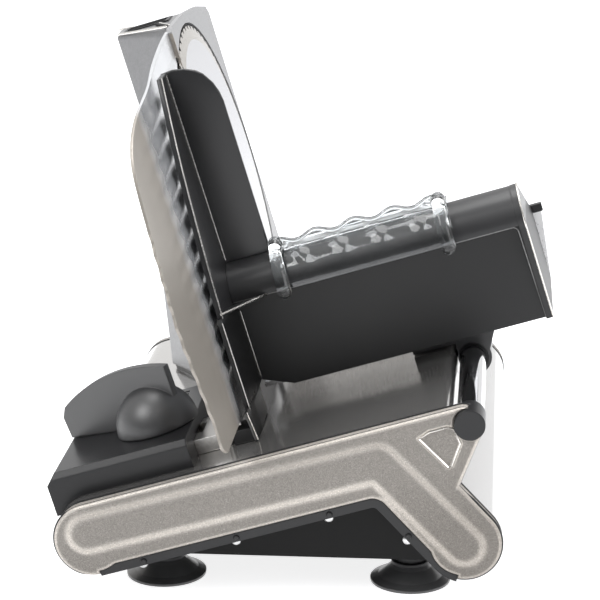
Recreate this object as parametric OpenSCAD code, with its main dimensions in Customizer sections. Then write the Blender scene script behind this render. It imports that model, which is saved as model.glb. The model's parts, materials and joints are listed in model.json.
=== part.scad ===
// Food slicer on a tilted base, all sizes in millimetres.
// The tilted frame has u across to the right, y to the back and w up
// from the table. Its origin is the centre of the left round end of
// the front cheek. The world frame has the floor at z = 0.

/* [Base] */
// Tilt of the table
tilt = 16.5; // [15:0.5:18]
// Height of the left round end above the floor
left_axis_h = 32; // [31:0.5:36]
// Depth of the base over both cheeks
base_d = 288; // [286:1:300]
// Radius of the round ends
arm_r = 17.3; // [16.5:0.1:18]
// Distance from the left end to the knee of the leg
arm_l = 151.5; // [150:0.5:154]
// Length of the leg between its centres
leg_l = 55.2; // [52:0.5:58]
// Thickness of a cheek cover
cover_t = 7; // [5:0.5:8]
// Thickness of a cheek frame
frame_t = 7; // [5:0.5:7]
// Inset of the lower edge of the cover
cover_inset = 1.8; // [1:0.1:3]
// Width that the frame lip shows below the cover
lip_w = 4.6; // [3:0.1:6]
// Height of the emboss on the cover
emboss = 0.8; // [0.4:0.1:1.5]
// Thickness of the base sheet
sheet_t = 1.2; // [0.8:0.1:2]
// Right edge of the base sheet beyond the knee
sheet_over = 35; // [32.5:0.5:35.5]
// How much the round ends reach below the arm and the leg
end_drop = 0.9; // [0:0.1:1.2]
// Fillet of the cover in the knee
knee_r = 8; // [4:0.5:12]
// Width of the black rim in front of the sheet
rim_w = 1.6; // [1:0.1:3]
// Wall of the underbody pan
pan_t = 2.5; // [2:0.1:4]
// Height of the pan above the floor
pan_z = 20.8; // [19:0.2:22]

/* [Feet] */
// Radius of a suction cup
cup_r = 20; // [16:0.5:22]
// Height of the cup cone
cup_h = 9; // [7:0.5:12]
// Radius of the foot neck
neck_r = 7.5; // [5:0.5:9]
// Distance of the left feet from the left end
foot_x1 = 31.8; // [30:0.2:40]
// Distance of the right feet beyond the knee
foot_over = 3.1; // [-11.5:0.1:4.5]
// Distance of the feet from the front and back
foot_y = 40.3; // [30:0.1:60]

/* [Rod] */
// Radius of the guide rod
rod_r = 6.7; // [5:0.1:6.8]
// Position of the rod across beyond the knee
rod_over = 42.8; // [42.5:0.1:44]
// Height of the rod on the cheek
rod_w = 8.8; // [8:0.1:9.5]
// Radius of the rod caps
rod_cap_r = 7.4; // [6.6:0.1:7.6]
// Radius of the cheek ear
ear_r = 9.3; // [8.5:0.1:10]
// Running clearance on round fits
fit_gap = 0.05; // [0.02:0.01:0.09]

/* [Blade] */
// Radius of the blade
blade_r = 85; // [82:0.5:86]
// Thickness of the blade
blade_t = 1.4; // [1:0.1:1.5]
// Outer face of the blade across
blade_u = 85.9; // [85.5:0.1:86]
// Width of the ground bevel
bevel_w = 8; // [4:0.5:12]
// Distance of the blade edge from the back of the base
blade_back = 3; // [2.5:0.5:4]
// Height of the blade centre
blade_w = 118.5; // [117:0.5:120]
// Number of waves on the blade edge
teeth = 64; // [40:2:80]
// Gap around the blade in the guard
guard_gap = 1.8; // [1.2:0.1:2]
// Thickness of the guard plate
guard_t = 2.8; // [2.2:0.1:3]
// Front edge of the guard plate before the blade centre
guard_front = 42; // [41:0.5:43]
// Radius of the blade shaft
shaft_r = 4; // [3:0.1:4.5]
// Radius of the blade hub
hub_r = 12; // [9:0.5:14]

/* [Drive] */
// Module of the drive gears
gear_m = 1; // [0.98:0.01:1]
// Teeth of the blade gear
z_blade = 56; // [54:2:56]
// Teeth of the small gear on the middle pin
z_mid = 14; // [14:1:15]
// Teeth of the large gear on the middle pin
z_wheel = 56; // [52:2:56]
// Teeth of the motor pinion
z_motor = 12; // [12:1:13]
// Radius of the motor
motor_r = 20; // [16:0.5:21]
// Radius of the pin of the middle gears
pin_r = 3; // [2.5:0.1:3.5]

/* [Housing] */
// Wall of the motor housing
house_t = 2.5; // [2:0.1:3]
// Height of the housing top over the blade
house_rise = 7; // [4.5:0.5:8.5]
// Height of the seat under the housing
seat_h = 2.7; // [2:0.1:3.5]
// Length of the switch rocker
switch_l = 21.4; // [16:0.2:24]
// Width of the switch rocker
switch_b = 9.2; // [8:0.1:9.6]

/* [Control unit] */
// Front face of the control unit
unit_y0 = 16; // [15:0.2:20]
// Depth of the control unit
unit_d = 94; // [80:1:110]
// Left end of the control unit
unit_u0 = -15.6; // [-19:0.1:-15]
// Right end of the control unit
unit_u1 = 57.5; // [56:0.1:57.6]
// Height of the top of the unit
unit_top = 32; // [31:0.1:33]
// Radius of the knob dome
knob_r = 21; // [18:0.2:21]
// Position of the knob across
knob_u = 38; // [37.5:0.1:38.2]
// Position of the knob to the back
knob_y = 53.5; // [53:0.1:54]
// Length of the grip from the knob centre to its tail
grip_l = 53; // [45:0.5:54]
// Thickness of the grip
grip_t = 4.7; // [3.5:0.1:6]
// Module of the rack teeth
rack_m = 0.8; // [0.78:0.01:0.8]
// Teeth of the knob pinion
z_knob = 16; // [15:1:16]
// Thickness of the sliding foot
foot_t = 7.4; // [6.5:0.1:7.6]
// Clearance around the sliding foot
slide_gap = 0.3; // [0.2:0.05:0.4]

/* [Stop plate] */
// Face of the stop plate across
stop_u = 83.4; // [83:0.1:83.6]
// Thickness of the stop plate
stop_t = 1.4; // [1.2:0.1:2.6]
// Front edge of the stop plate
stop_y0 = -34; // [-36:0.5:-32]
// Height of the ribs on the stop plate
rib_h = 0.9; // [0.5:0.1:1]
// Distance between ribs
rib_pitch = 11.3; // [9:0.1:14]
// Gap between the stop plate and the blade
stop_gap = 2.5; // [2.2:0.1:4]

/* [Carriage] */
// Inner face of the side plate across
side_u = 86.6; // [86.5:0.1:86.8]
// Thickness of the side plate
side_t = 2.4; // [2:0.1:3]
// Front edge of the skid
skid_y0 = 33.6; // [33:0.1:36]
// Front edge of the side plate
side_y0 = 35; // [34:0.5:37]
// Rear face of the front wall
wall_y1 = 88; // [86:0.5:89]
// Thickness of the carriage walls
wall_t = 2.4; // [2:0.1:3]
// Radius of the rolled band
band_r = 17; // [15:0.5:18]
// Height of the band centre
band_w = 78.3; // [76:0.5:80]
// Inner face of the end plate beyond the rod
end_over = 43.1; // [37.7:0.1:45.7]
// Thickness of the end plate
end_t = 3.6; // [2.5:0.1:4.5]
// Underside of the tray
tray_w = 27; // [26.6:0.1:27.5]
// Thickness of the tray floor
tray_t = 2.5; // [2:0.1:3.5]
// Depth of the food bay
bay_d = 72; // [66:1:73]
// Height of the back panel above the tray underside
back_h = 37; // [30:1:44]
// Thickness of the back panel
back_t = 1.6; // [1.2:0.1:2.2]
// Length of the bearing block
bearing_l = 53; // [40:1:53]
// Front face of the bearing block
bearing_y0 = 107; // [100:1:107]
// Wall of the rod bush
bush_t = 1.2; // [1:0.05:1.3]
// Top of the hand guard
hand_top = 196; // [185:1:200]
// Right edge of the hand guard face
hand_u1 = 113; // [108:0.5:113]

/* [Food holder] */
// Left end of the holder
hold_u0 = 113.6; // [113.5:0.1:116]
// Length of the holder
hold_l = 92; // [80:1:92]
// Thickness of the clear shell
hold_t = 2; // [1.6:0.1:2.6]
// Radius of the holder posts
post_r = 3.3; // [2.5:0.1:3.6]
// Pitch of the waves on the holder
wave_p = 20; // [14:0.5:26]

/* [Hidden] */
$fn = 64;

eps = 0.01;
st = sin(tilt);
ct = cos(tilt);

// Leg direction and outward normal in the tilted frame
leg_a = -63.4;
ld = [cos(leg_a), sin(leg_a)];
ln = [-sin(leg_a), cos(leg_a)];
K = [arm_l, 0];
sheet_u = arm_l + sheet_over;
rod_u = arm_l + rod_over;
end_u = rod_u + end_over;
foot_x2 = arm_l + foot_over;
sheet_y0 = cover_t + rim_w;
blade_y = base_d - blade_r - blade_back;
guard_y0 = blade_y - guard_front;
house_top = blade_w + blade_r + house_rise;
F = K + ld * leg_l;
v_t = 31.3;

// Rear face of the front frame and front face of the rear one
cheek_t = cover_t + frame_t;
rim_r = arm_r - cover_inset;
lip_r = rim_r + lip_w;
ear_c = [rod_u - 3.3, rod_w - 0.8];
bend_r = 6;
frame_in = -0.3;

// Blade and guard
blade_i = blade_u - blade_t;
hole_r = blade_r + guard_gap;
guard_u1 = blade_u - 0.7;
guard_u0 = guard_u1 - guard_t;
guard_y1 = base_d;
plate_t = 2.8;
plate_u0 = guard_u0 - plate_t;

// Gear train, centres in the (y, w) plane
bc = [blade_y, blade_w];
a_mid = -75;
a_mot = -35;
d_mid = gear_m * (z_blade + z_mid) / 2;
d_mot = gear_m * (z_wheel + z_motor) / 2;
mc = bc + d_mid * [cos(a_mid), sin(a_mid)];
oc = mc + d_mot * [cos(a_mot), sin(a_mot)];
frame_u0 = 60;
frame_u1 = 62.5;
wheel_u0 = 64;
wheel_w = 5;
bgear_u1 = plate_u0 - 1.6;
bgear_w = 7.5;

// Knob and rack
kr = rack_m * z_knob / 2;
grip_a = 159.5;
knob_w0 = unit_top + 0.4;
foot_w0 = arm_r + slide_gap;
foot_w1 = foot_w0 + foot_t;
foot_y0 = 34;
foot_y1 = knob_y + kr + 8;
foot_u0 = 12;
foot_u1 = 73;
travel_open = 14.5;
travel_shut = 1.5;

// Carriage
side_u1 = side_u + side_t;
wing_u1 = side_u1 + 0.4;
end_u1 = end_u + end_t;
wall_y0 = wall_y1 - wall_t;
band_w1 = band_w + band_r;
back_y0 = wall_y1 + bay_d;
bush_r = rod_r + bush_t;
skid_u0 = 76.4;
skid_t = 6.6;
seam_w0 = 80.5;
seam_w1 = 72;

// Centre of the whole part in the floor plane
grip_u = knob_u + grip_l * cos(grip_a) - grip_t / 2 * sin(grip_a);
grip_tail = unit_top + 11.5;
x_min = grip_u * ct - grip_tail * st;
x_max = end_u1 * ct - (tray_w - 1.5) * st;
x_mid = (x_min + x_max) / 2;
cap_out = 0.6;
cap_front = 2;
y_mid = (stop_y0 + base_d + cap_out) / 2;

module tilted() {
    translate([-x_mid, -y_mid, left_axis_h]) rotate([0, -tilt, 0]) children();
}
module level() {
    translate([-x_mid, -y_mid, 0]) children();
}
// Extrude a (u, w) outline along y
module ext_y(y0, y1) {
    translate([0, y1, 0]) rotate([90, 0, 0]) linear_extrude(y1 - y0) children();
}
// Extrude a (y, w) outline along u
module ext_u(u0, u1) {
    translate([u0, 0, 0]) rotate([90, 0, 90]) linear_extrude(u1 - u0) children();
}
module cyl_u(u0, u1, p, r) {
    translate([u0, p[0], p[1]]) rotate([0, 90, 0]) cylinder(h = u1 - u0, r = r);
}
module cyl_y(y0, y1, p, r) {
    translate([p[0], y1, p[1]]) rotate([90, 0, 0]) cylinder(h = y1 - y0, r = r);
}
module box(u0, u1, y0, y1, w0, w1) {
    translate([u0, y0, w0]) cube([u1 - u0, y1 - y0, w1 - w0]);
}
// Bar with round ends between two points
module capsule(a, b, r) {
    d = b - a;
    translate(a) circle(r);
    translate(b) circle(r);
    translate(a) rotate(atan2(d[1], d[0])) translate([0, -r])
        square([norm(d), 2 * r]);
}
// Point where the right-hand tangent from v touches a circle
function touch(v, c, r) = let(d = norm(c - v), a = atan2(c[1] - v[1],
    c[0] - v[0]) - asin(r / d), l = sqrt(d * d - r * r))
    v + l * [cos(a), sin(a)];
// Points of a smooth curve through control points
function cr(a, b, c, d, t) = 0.5 * ((2 * b) + (c - a) * t
    + (2 * a - 5 * b + 4 * c - d) * t * t
    + (3 * b - a - 3 * c + d) * t * t * t);
function curve(p, n = 4) = [for (i = [0 : len(p) - 2]) for (j = [0 : n - 1])
    cr(p[max(0, i - 1)], p[i], p[i + 1], p[min(len(p) - 1, i + 2)], j / n),
    p[len(p) - 1]];

// Involute gear outline, tooth centred on angle ph
function inv(a) = tan(a) * 180 / PI - a;
function half_a(m, z, r, bl) = let(rb = m * z / 2 * cos(20))
    (90 / z) * (1 - bl) + inv(20) - (r > rb ? inv(acos(rb / r)) : 0);
function tooth(m, z, a, bl) = let(rp = m * z / 2, rb = rp * cos(20),
    rt = rp + 0.9 * m, rr = rp - 1.2 * m, r1 = max(rb, rr) + 0.02,
    rs = [rr, r1, (r1 + rt) / 2, rt])
    [for (k = [0 : 3]) rs[k] * [cos(a - half_a(m, z, max(rs[k], r1), bl)),
        sin(a - half_a(m, z, max(rs[k], r1), bl))],
     for (k = [3 : -1 : 0]) rs[k] * [cos(a + half_a(m, z, max(rs[k], r1), bl)),
        sin(a + half_a(m, z, max(rs[k], r1), bl))]];
module gear2(m, z, ph) {
    polygon([for (i = [0 : z - 1]) each tooth(m, z, ph + i * 360 / z, 0.12)]);
}

// Side outline of the base with an inset
module right_block(i, c, r, e) {
    v = K + ln * (arm_r - i) + ld * v_t;
    t = touch(v, c, r - i);
    polygon([[arm_l - 1, 0], [arm_l - 1, arm_r - i], [c[0], arm_r - i], c, t,
        v, K]);
    translate(c) circle(r - i);
}
module legs2(r) {
    e = end_drop;
    translate([e, -e]) circle(r + e);
    translate([e, -r]) square([arm_l - e, 2 * r]);
    translate(K) circle(r);
    translate(K) rotate(leg_a) translate([0, -r])
        square([leg_l - e, 2 * r]);
    translate(F - ld * e - ln * e) circle(r + e);
}
// Point in the knee at a distance from both centre lines, and its fillet
function knee(r) = K - ln * r + ld * r * (1 - ln[1]) / -ld[1];
module knee_fill(r, q) {
    c = knee(r + q);
    difference() {
        polygon([knee(r - 1), [c[0], 1 - r], c, c + ln * (q + 1)]);
        translate(c) circle(q + 0.05);
    }
}
module cheek2(i) {
    legs2(arm_r - i);
    right_block(i, [ear_c[0], arm_r - ear_r], ear_r, 0);
}
module sheet2(i) {
    legs2(arm_r - i);
    right_block(i, [sheet_u - bend_r, arm_r - bend_r], bend_r, 0);
}
module low_clip() {
    polygon([[0, -90], [0, 0], K, F, F + 40 * [cos(240), sin(240)]]);
}
module cover2(i) {
    difference() {
        cheek2(i);
        low_clip();
    }
    intersection() {
        legs2(rim_r - i);
        low_clip();
    }
    knee_fill(rim_r - i, knee_r);
}

// Point on the line z = h for a height w, and on a line beside the leg
function on_floor(w, z) = [(z - left_axis_h - w * ct) / st, w];
function on_leg(o, z) = let(p = K + ln * o,
    t = (z - left_axis_h - p[0] * st - p[1] * ct) / (ld[0] * st + ld[1] * ct))
    p + ld * t;
pan_u0 = 8;
module pan2(t, top) {
    o = -arm_r / 2 - t;
    k = K + ln * o;
    g = (top - k[1]) / ld[1];
    polygon([[pan_u0 + t, -arm_r + t], on_floor(-arm_r + t, pan_z + t),
        on_leg(o, pan_z + t), k + ld * g, [pan_u0 + t, top]]);
}

module base_sheet() {
    y1 = base_d - sheet_y0;
    color("silver") tilted() difference() {
        ext_y(sheet_y0, y1) sheet2(0);
        ext_y(sheet_y0 - 1, y1 + 1) sheet2(sheet_t);
        ext_y(sheet_y0 - 1, y1 + 1) polygon([[pan_u0, -60],
            [pan_u0, -5], K - ln * arm_r / 2, F - ln * arm_r / 2,
            F - ln * arm_r / 2 + ld * 40]);
        // the lips of the frames take the place of the sheet below
        ext_y(sheet_y0 - 1, cheek_t) low_clip();
        ext_y(base_d - cheek_t, y1 + 1) low_clip();
        // hole for the switch lead under the housing
        translate([60, base_d - 48, arm_r - 3]) cylinder(h = 5, r = 6);
    }
}

module base_pan() {
    color("dimgray") tilted() difference() {
        ext_y(cheek_t, base_d - cheek_t) pan2(0, -4);
        ext_y(cheek_t + pan_t, base_d - cheek_t - pan_t) pan2(pan_t, 3);
    }
}

module cover_solid() {
    difference() {
        union() {
            ext_y(emboss, cover_t) cover2(0);
            ext_y(0, emboss + eps) difference() {
                cover2(3);
                translate(ear_c + [-16, 1]) circle(7);
            }
            // raised triangle by the ear
            ext_y(0, emboss + eps) polygon([[arm_l + 20, 8.5],
                [arm_l + 31, 9], [arm_l + 34, 4], [arm_l + 27, -8]]);
        }
        cyl_y(-1, cover_t + 1, [rod_u, rod_w], rod_cap_r + 0.05);
        for (p = screw_pts()) cyl_y(-1, cover_t + 1, p, 1.9);
    }
}
function screw_pts() = let(r = rim_r + 2.6) [[arm_l * 0.149, -r],
    [arm_l * 0.462, -r], [arm_l * 0.772, -r], K - ln * r + ld * 34];
module lip2() {
    translate([0, -lip_r]) square([arm_l, lip_r]);
    capsule(K, F, lip_r);
    knee_fill(lip_r, knee_r - lip_w);
}
module frame_solid() {
    difference() {
        union() {
            ext_y(cover_t, sheet_y0) cheek2(frame_in);
            ext_y(sheet_y0 - eps, cheek_t) sheet2(sheet_t + 0.06);
            ext_y(2, cheek_t) intersection() {
                lip2();
                low_clip();
            }
        }
        ext_y(1, cover_t) cover2(0);
        cyl_y(0, cheek_t + 1, [rod_u, rod_w], rod_cap_r + 0.05);
        for (p = screw_pts()) cyl_y(1, cheek_t + 1, p, 1.1);
    }
}
module front_cover() {
    color("tan") tilted() cover_solid();
}
module front_frame() {
    color("black") tilted() frame_solid();
}
module rear_cover() {
    color("tan") tilted() translate([0, base_d, 0]) mirror([0, 1, 0])
        cover_solid();
}
module rear_frame() {
    color("black") tilted() translate([0, base_d, 0]) mirror([0, 1, 0])
        frame_solid();
}
module cheek_screw() {
    rotate([90, 0, 0]) {
        cylinder(h = 1, r1 = 1.6, r2 = 1.2);
        translate([0, 0, -9]) cylinder(h = 9 + eps, r = 1.05);
    }
}
module cheek_screws() {
    color("silver") tilted() for (p = screw_pts()) {
        translate([p[0], 2, p[1]]) cheek_screw();
        translate([p[0], base_d - 2, p[1]]) mirror([0, 1, 0]) cheek_screw();
    }
}

module at_feet() {
    level() for (x = [foot_x1, foot_x2]) for (y = [foot_y, base_d - foot_y])
        translate([x, y, 0]) children();
}
module suction_cups() {
    color("darkslategray") at_feet() rotate_extrude() polygon([[3, 1.2],
        [cup_r - 3, 0.9], [cup_r - 1.2, 0], [cup_r, 0], [cup_r, 1.2],
        [cup_r - 4, 3], [neck_r + 3, cup_h - 1.6], [neck_r + 1.6, cup_h],
        [3, cup_h]]);
}
module foot_necks() {
    color("black") at_feet() translate([0, 0, cup_h]) difference() {
        union() {
            cylinder(h = pan_z - cup_h, r = neck_r);
            cylinder(h = 1.8, r = neck_r + 2);
            translate([0, 0, pan_z - cup_h - 2]) cylinder(h = 2,
                r = neck_r + 1.6);
        }
        translate([0, 0, -1]) cylinder(h = 40, r = 2.1);
    }
}
module foot_screws() {
    color("silver") at_feet() {
        translate([0, 0, 1.6]) cylinder(h = pan_z - 1.6, r = 2);
        translate([0, 0, 1.6]) cylinder(h = 2, r = 2.95);
    }
}

module guide_rod() {
    color("silver") tilted() cyl_y(7, base_d - 7, [rod_u, rod_w], rod_r);
}
module rod_cap(out) {
    difference() {
        cyl_y(-out, cheek_t, [rod_u, rod_w], rod_cap_r);
        cyl_y(7 - 0.1, cheek_t + 1, [rod_u, rod_w], rod_r + 0.02);
    }
}
module rod_caps() {
    color("black") tilted() {
        rod_cap(cap_front);
        translate([0, base_d, 0]) mirror([0, 1, 0]) rod_cap(cap_out);
    }
}

// Motor housing, i is the inset and e moves the open right side
module house_hull(i, e) {
    r = 9 - i;
    q = 5 - i;
    m = 2.8 - i;
    w0 = arm_r + seat_h - (i > 0 ? 3 : 0);
    g = guard_y0;
    b = base_d;
    // the left face stands upright on the table above the flare
    flare = house_top - 46;
    module right_rim(h) for (p = h) cyl_u(78 + e, 79 + e, p, q, $fn = 32);
    hull() {
        for (w = [flare, house_top - 2.8]) {
            translate([51.3, g + 37.6, w]) sphere(m, $fn = 24);
            translate([49.1, g + 53.7, w]) sphere(m, $fn = 24);
        }
        for (w = [flare, house_top - 13.5]) translate([55, b - 22, w])
            sphere(m + 2, $fn = 24);
        right_rim([[g + 5, flare], [b - 6, flare], [g + 5, house_top - 6.5],
            [g + 51, house_top - 5], [b - 6, house_top - 12.5]]);
    }
    hull() {
        translate([50, g + 12.5, w0]) cylinder(h = 1, r = r, $fn = 32);
        translate([26, g + 56, w0]) cylinder(h = 1, r = r, $fn = 32);
        translate([26, b - 9, w0]) cylinder(h = 1, r = r, $fn = 32);
        for (y = [g + 7, b - 5]) translate([79 + e, y, w0])
            cylinder(h = 1, r = q, $fn = 32);
        translate([51.3, g + 37.6, flare]) sphere(m, $fn = 24);
        translate([49.1, g + 53.7, flare]) sphere(m, $fn = 24);
        translate([55, b - 22, flare]) sphere(m + 2, $fn = 24);
        right_rim([[g + 5, flare], [b - 6, flare]]);
    }
}
sw_c = [66, guard_y0 + 42];
module motor_housing() {
    color("gainsboro") tilted() difference() {
        house_hull(0, 8);
        house_hull(house_t, 9);
        box(guard_u0, guard_u0 + 40, guard_y0 - 60, base_d + 40, -10,
            house_top + 50);
        box(sw_c[0] - switch_l / 2 - 2.3, sw_c[0] + switch_l / 2 + 2.3,
            sw_c[1] - 8, sw_c[1] + 8, house_top - 8, house_top + 9);
        cyl_y(base_d - 20, base_d + 9, [52, 34], 5);
    }
}
module housing_seat() {
    color("black") tilted() difference() {
        translate([0, 0, arm_r]) linear_extrude(seat_h) polygon([
            [42.5, guard_y0 + 6], [79, guard_y0 + 3.5],
            [guard_u0, guard_y0 + 3.5], [guard_u0, base_d - 1.5],
            [24, base_d - 1.5], [18.5, base_d - 8], [18.5, guard_y0 + 54],
            [21, guard_y0 + 49]]);
        translate([60, base_d - 48, 0]) cylinder(h = 40, r = 6);
        box(0, 100, base_d - sheet_y0 - 0.05, base_d - cover_t + 0.05,
            arm_r - 1, arm_r - frame_in + 0.05);
    }
}

// Guard plate with the round opening
function guard_pts() = [[guard_y0, arm_r + 0.4], [guard_y0, house_top - 3],
    [guard_y0 + 4, house_top - 0.6], [guard_y0 + 51, house_top],
    [guard_y0 + 92, house_top - 2.5], [guard_y1 - 5, house_top - 7.5],
    [guard_y1, house_top - 12], [guard_y1, arm_r + 0.4]];
guard_screw = [[guard_y0 + 12, 24], [guard_y0 + 66, 24],
    [base_d - 10, 24], [base_d - 14, house_top - 18]];
module guard_plate() {
    color("lightgray") tilted() difference() {
        ext_u(guard_u0, guard_u1) polygon(guard_pts());
        cyl_u(guard_u0 - 1, guard_u1 + 1, bc, hole_r);
        for (p = guard_screw) cyl_u(guard_u0 - 1, guard_u0 + 2, p, 1.5);
    }
}
module guard_screws() {
    // from the inside, so that the guard plate has a clean face
    color("silver") tilted() for (p = guard_screw) {
        cyl_u(plate_u0 - 0.01, guard_u0 + 2, p, 1.5);
        cyl_u(plate_u0 - 1.8, plate_u0, p, 2.7);
    }
}
function at_blade(a, b) = bc + [a, b] * blade_r / 85;
pillars = [at_blade(-23, -76.5), at_blade(56, -22.5), at_blade(56, -82.5),
    at_blade(-7, 47.5), at_blade(26, 41.5)];
module gear_plate() {
    color("black") tilted() difference() {
        ext_u(plate_u0, guard_u0) polygon([[guard_y0 + 7.5, 21],
            [guard_y0 + 13, house_top - 8.5], [guard_y0 + 51, house_top - 5.5],
            [base_d - 38, house_top - 9.5], [base_d - 12, house_top - 13],
            [base_d - 9.5, house_top - 16], [base_d - 9.5, house_top - 46],
            [base_d - 4.5, 21]]);
        cyl_u(plate_u0 - 1, guard_u0 + 1, bc, hub_r + fit_gap);
        cyl_u(plate_u0 - 1, guard_u0 + 1, mc, pin_r);
        for (p = guard_screw) cyl_u(plate_u0 - 1, guard_u0 + 1, p, 1.5);
    }
}
module gear_frame() {
    color("dimgray") tilted() difference() {
        union() {
            ext_u(frame_u0, frame_u1) polygon([at_blade(-26, -88.5),
                at_blade(-19, -8.5), at_blade(-10, 53.5), at_blade(31, 53.5),
                at_blade(62, -16.5), at_blade(62, -88.5)]);
            for (p = pillars) cyl_u(frame_u1 - eps, plate_u0, p, 4);
        }
        cyl_u(frame_u0 - 1, frame_u1 + 1, bc, shaft_r);
        cyl_u(frame_u0 - 1, frame_u1 + 1, mc, pin_r);
        cyl_u(frame_u0 - 1, frame_u1 + 1, oc, pin_r + fit_gap);
    }
}
module blade_shaft() {
    color("silver") tilted() cyl_u(frame_u0, blade_i - 0.3, bc, shaft_r);
}
module middle_pin() {
    color("silver") tilted() cyl_u(frame_u0, guard_u0, mc, pin_r);
}
motor_u0 = 34;
module motor_body() {
    color("slategray") tilted() difference() {
        union() {
            cyl_u(motor_u0, frame_u0, oc, motor_r);
            cyl_u(motor_u0 - 3, motor_u0 + eps, oc, motor_r * 0.35);
        }
        cyl_u(motor_u0 - 2.5, frame_u0 + 1, oc, pin_r + fit_gap);
        for (a = [0 : 60 : 300]) translate([0, 14 * cos(a) , 14 * sin(a)])
            cyl_u(motor_u0 - 1, motor_u0 + 3, oc, 2.5);
    }
}
module mains_gland() {
    color("black") tilted() difference() {
        union() {
            cyl_y(base_d - 8, base_d + cap_out, [52, 34], 4.95);
            cyl_y(base_d - 8, base_d - 5, [52, 34], 6.5);
        }
        cyl_y(base_d - 9, base_d + 3, [52, 34], 3);
    }
}
module switch_bezel() {
    color("black") tilted() difference() {
        box(sw_c[0] - switch_l / 2 - 2.3, sw_c[0] + switch_l / 2 + 2.3,
            sw_c[1] - 8, sw_c[1] + 8, house_top - 5, house_top + 0.4);
        box(sw_c[0] - switch_l / 2 - 0.3, sw_c[0] + switch_l / 2 + 0.3,
            sw_c[1] - 6.2, sw_c[1] + 6.2, house_top - 9, house_top + 9);
        cyl_u(sw_c[0] - 20, sw_c[0] + 20, [sw_c[1], house_top - 2.5],
            1.2 + fit_gap);
    }
}
module switch_rocker() {
    b = switch_b / 2;
    y = sw_c[1];
    h = house_top;
    color("darkred") tilted() {
        ext_u(sw_c[0] - switch_l / 2, sw_c[0] + switch_l / 2)
            polygon([[y - b, h - 2.5], [y - b, h + 1], [y, h - 0.4],
                [y + b, h - 0.8], [y + b, h - 4], [y, h - 6.4]]);
        cyl_u(sw_c[0] - switch_l / 2 - 1.8, sw_c[0] + switch_l / 2 + 1.8,
            [y, h - 2.5], 1.2);
    }
}

// Corner housing of the thickness control
module unit2() {
    y0 = unit_y0;
    polygon([[y0, arm_r], [y0, unit_top - 3], [y0 + 2, unit_top],
        [y0 + unit_d - 3, unit_top], [y0 + unit_d, unit_top - 3],
        [y0 + unit_d, arm_r]]);
}
module control_unit() {
    y0 = unit_y0;
    color("black") tilted() difference() {
        union() {
            ext_u(unit_u0, unit_u1) unit2();
            difference() {
                box(unit_u0, 0, y0, y0 + unit_d, 10.6, arm_r + eps);
                cyl_y(y0 - 1, y0 + unit_d + 1, [end_drop, -end_drop],
                    arm_r + end_drop);
            }
        }
        // left chamfer
        ext_y(y0 - 1, y0 + unit_d + 1) polygon([[unit_u0 - 9, unit_top - 5.4],
            [unit_u0 - 0.01, unit_top - 5.4], [unit_u0 + 5, unit_top + eps],
            [unit_u0 + 5, unit_top + 5], [unit_u0 - 9, unit_top + 5]]);
        // channel of the sliding foot, open to the right
        box(foot_u0 - travel_open - 1, unit_u1 + 1, foot_y0 - slide_gap,
            foot_y1 + slide_gap, arm_r - 1, foot_w1 + slide_gap);
        // bearing of the knob shaft
        translate([knob_u, knob_y, arm_r]) cylinder(h = 30, r = 3 + fit_gap);
        // vent slots behind the knob
        for (k = [0 : 3]) box(-6, 48, 84 + 5 * k, 86 + 5 * k, 29, 40);
    }
}

module blade() {
    color("silver") tilted() difference() {
        translate([blade_i, bc[0], bc[1]]) rotate([0, 90, 0])
            rotate_extrude($fn = 128) polygon([[hub_r - 3, 0], [blade_r, 0],
                [blade_r, 0.35], [blade_r - bevel_w, blade_t],
                [hub_r - 3, blade_t]]);
        for (i = [0 : teeth - 1]) let(a = i * 360 / teeth)
            translate([0, (blade_r + 1.5) * cos(a), (blade_r + 1.5) * sin(a)])
                cyl_u(blade_i - 1, blade_u + 1, bc, 2.5, $fn = 24);
    }
}
module blade_hub() {
    color("dimgray") tilted() difference() {
        union() {
            cyl_u(bgear_u1, blade_i, bc, hub_r);
            cyl_u(blade_i - eps, blade_u, bc, hub_r - 3.05);
        }
        cyl_u(bgear_u1 - 1, blade_i - 0.1, bc, shaft_r + fit_gap);
    }
}
module blade_gear() {
    color("ivory") tilted() difference() {
        translate([bgear_u1 - bgear_w, bc[0], bc[1]]) rotate([90, 0, 90])
            linear_extrude(bgear_w) gear2(gear_m, z_blade, a_mid);
        cyl_u(0, 200, bc, shaft_r + fit_gap);
    }
}
module blade_lock() {
    color("black") tilted() difference() {
        cyl_u(blade_u, blade_u + 0.35, bc, hub_r + 4);
        box(blade_u + 0.15, blade_u + 1, bc[0] - 12, bc[0] + 12, bc[1] - 1.5,
            bc[1] + 1.5);
    }
}
module middle_gear() {
    color("ivory") tilted() difference() {
        translate([0, mc[0], mc[1]]) {
            translate([wheel_u0, 0, 0]) rotate([90, 0, 90])
                linear_extrude(wheel_w) gear2(gear_m, z_wheel, a_mot);
            translate([wheel_u0 + wheel_w - eps, 0, 0]) rotate([90, 0, 90])
                linear_extrude(bgear_u1 - wheel_u0 - wheel_w + 0.6)
                gear2(gear_m, z_mid, a_mid + 180 + 180 / z_mid);
        }
        cyl_u(0, 200, mc, pin_r + fit_gap);
    }
}
module motor_rotor() {
    color("silver") tilted() {
        cyl_u(motor_u0 - 2.2, wheel_u0 + 1, oc, pin_r);
        translate([frame_u1 + 0.8, oc[0], oc[1]]) rotate([90, 0, 90])
            linear_extrude(wheel_w + 2)
            gear2(gear_m, z_motor, a_mot + 180 + 180 / z_motor);
    }
}

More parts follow.
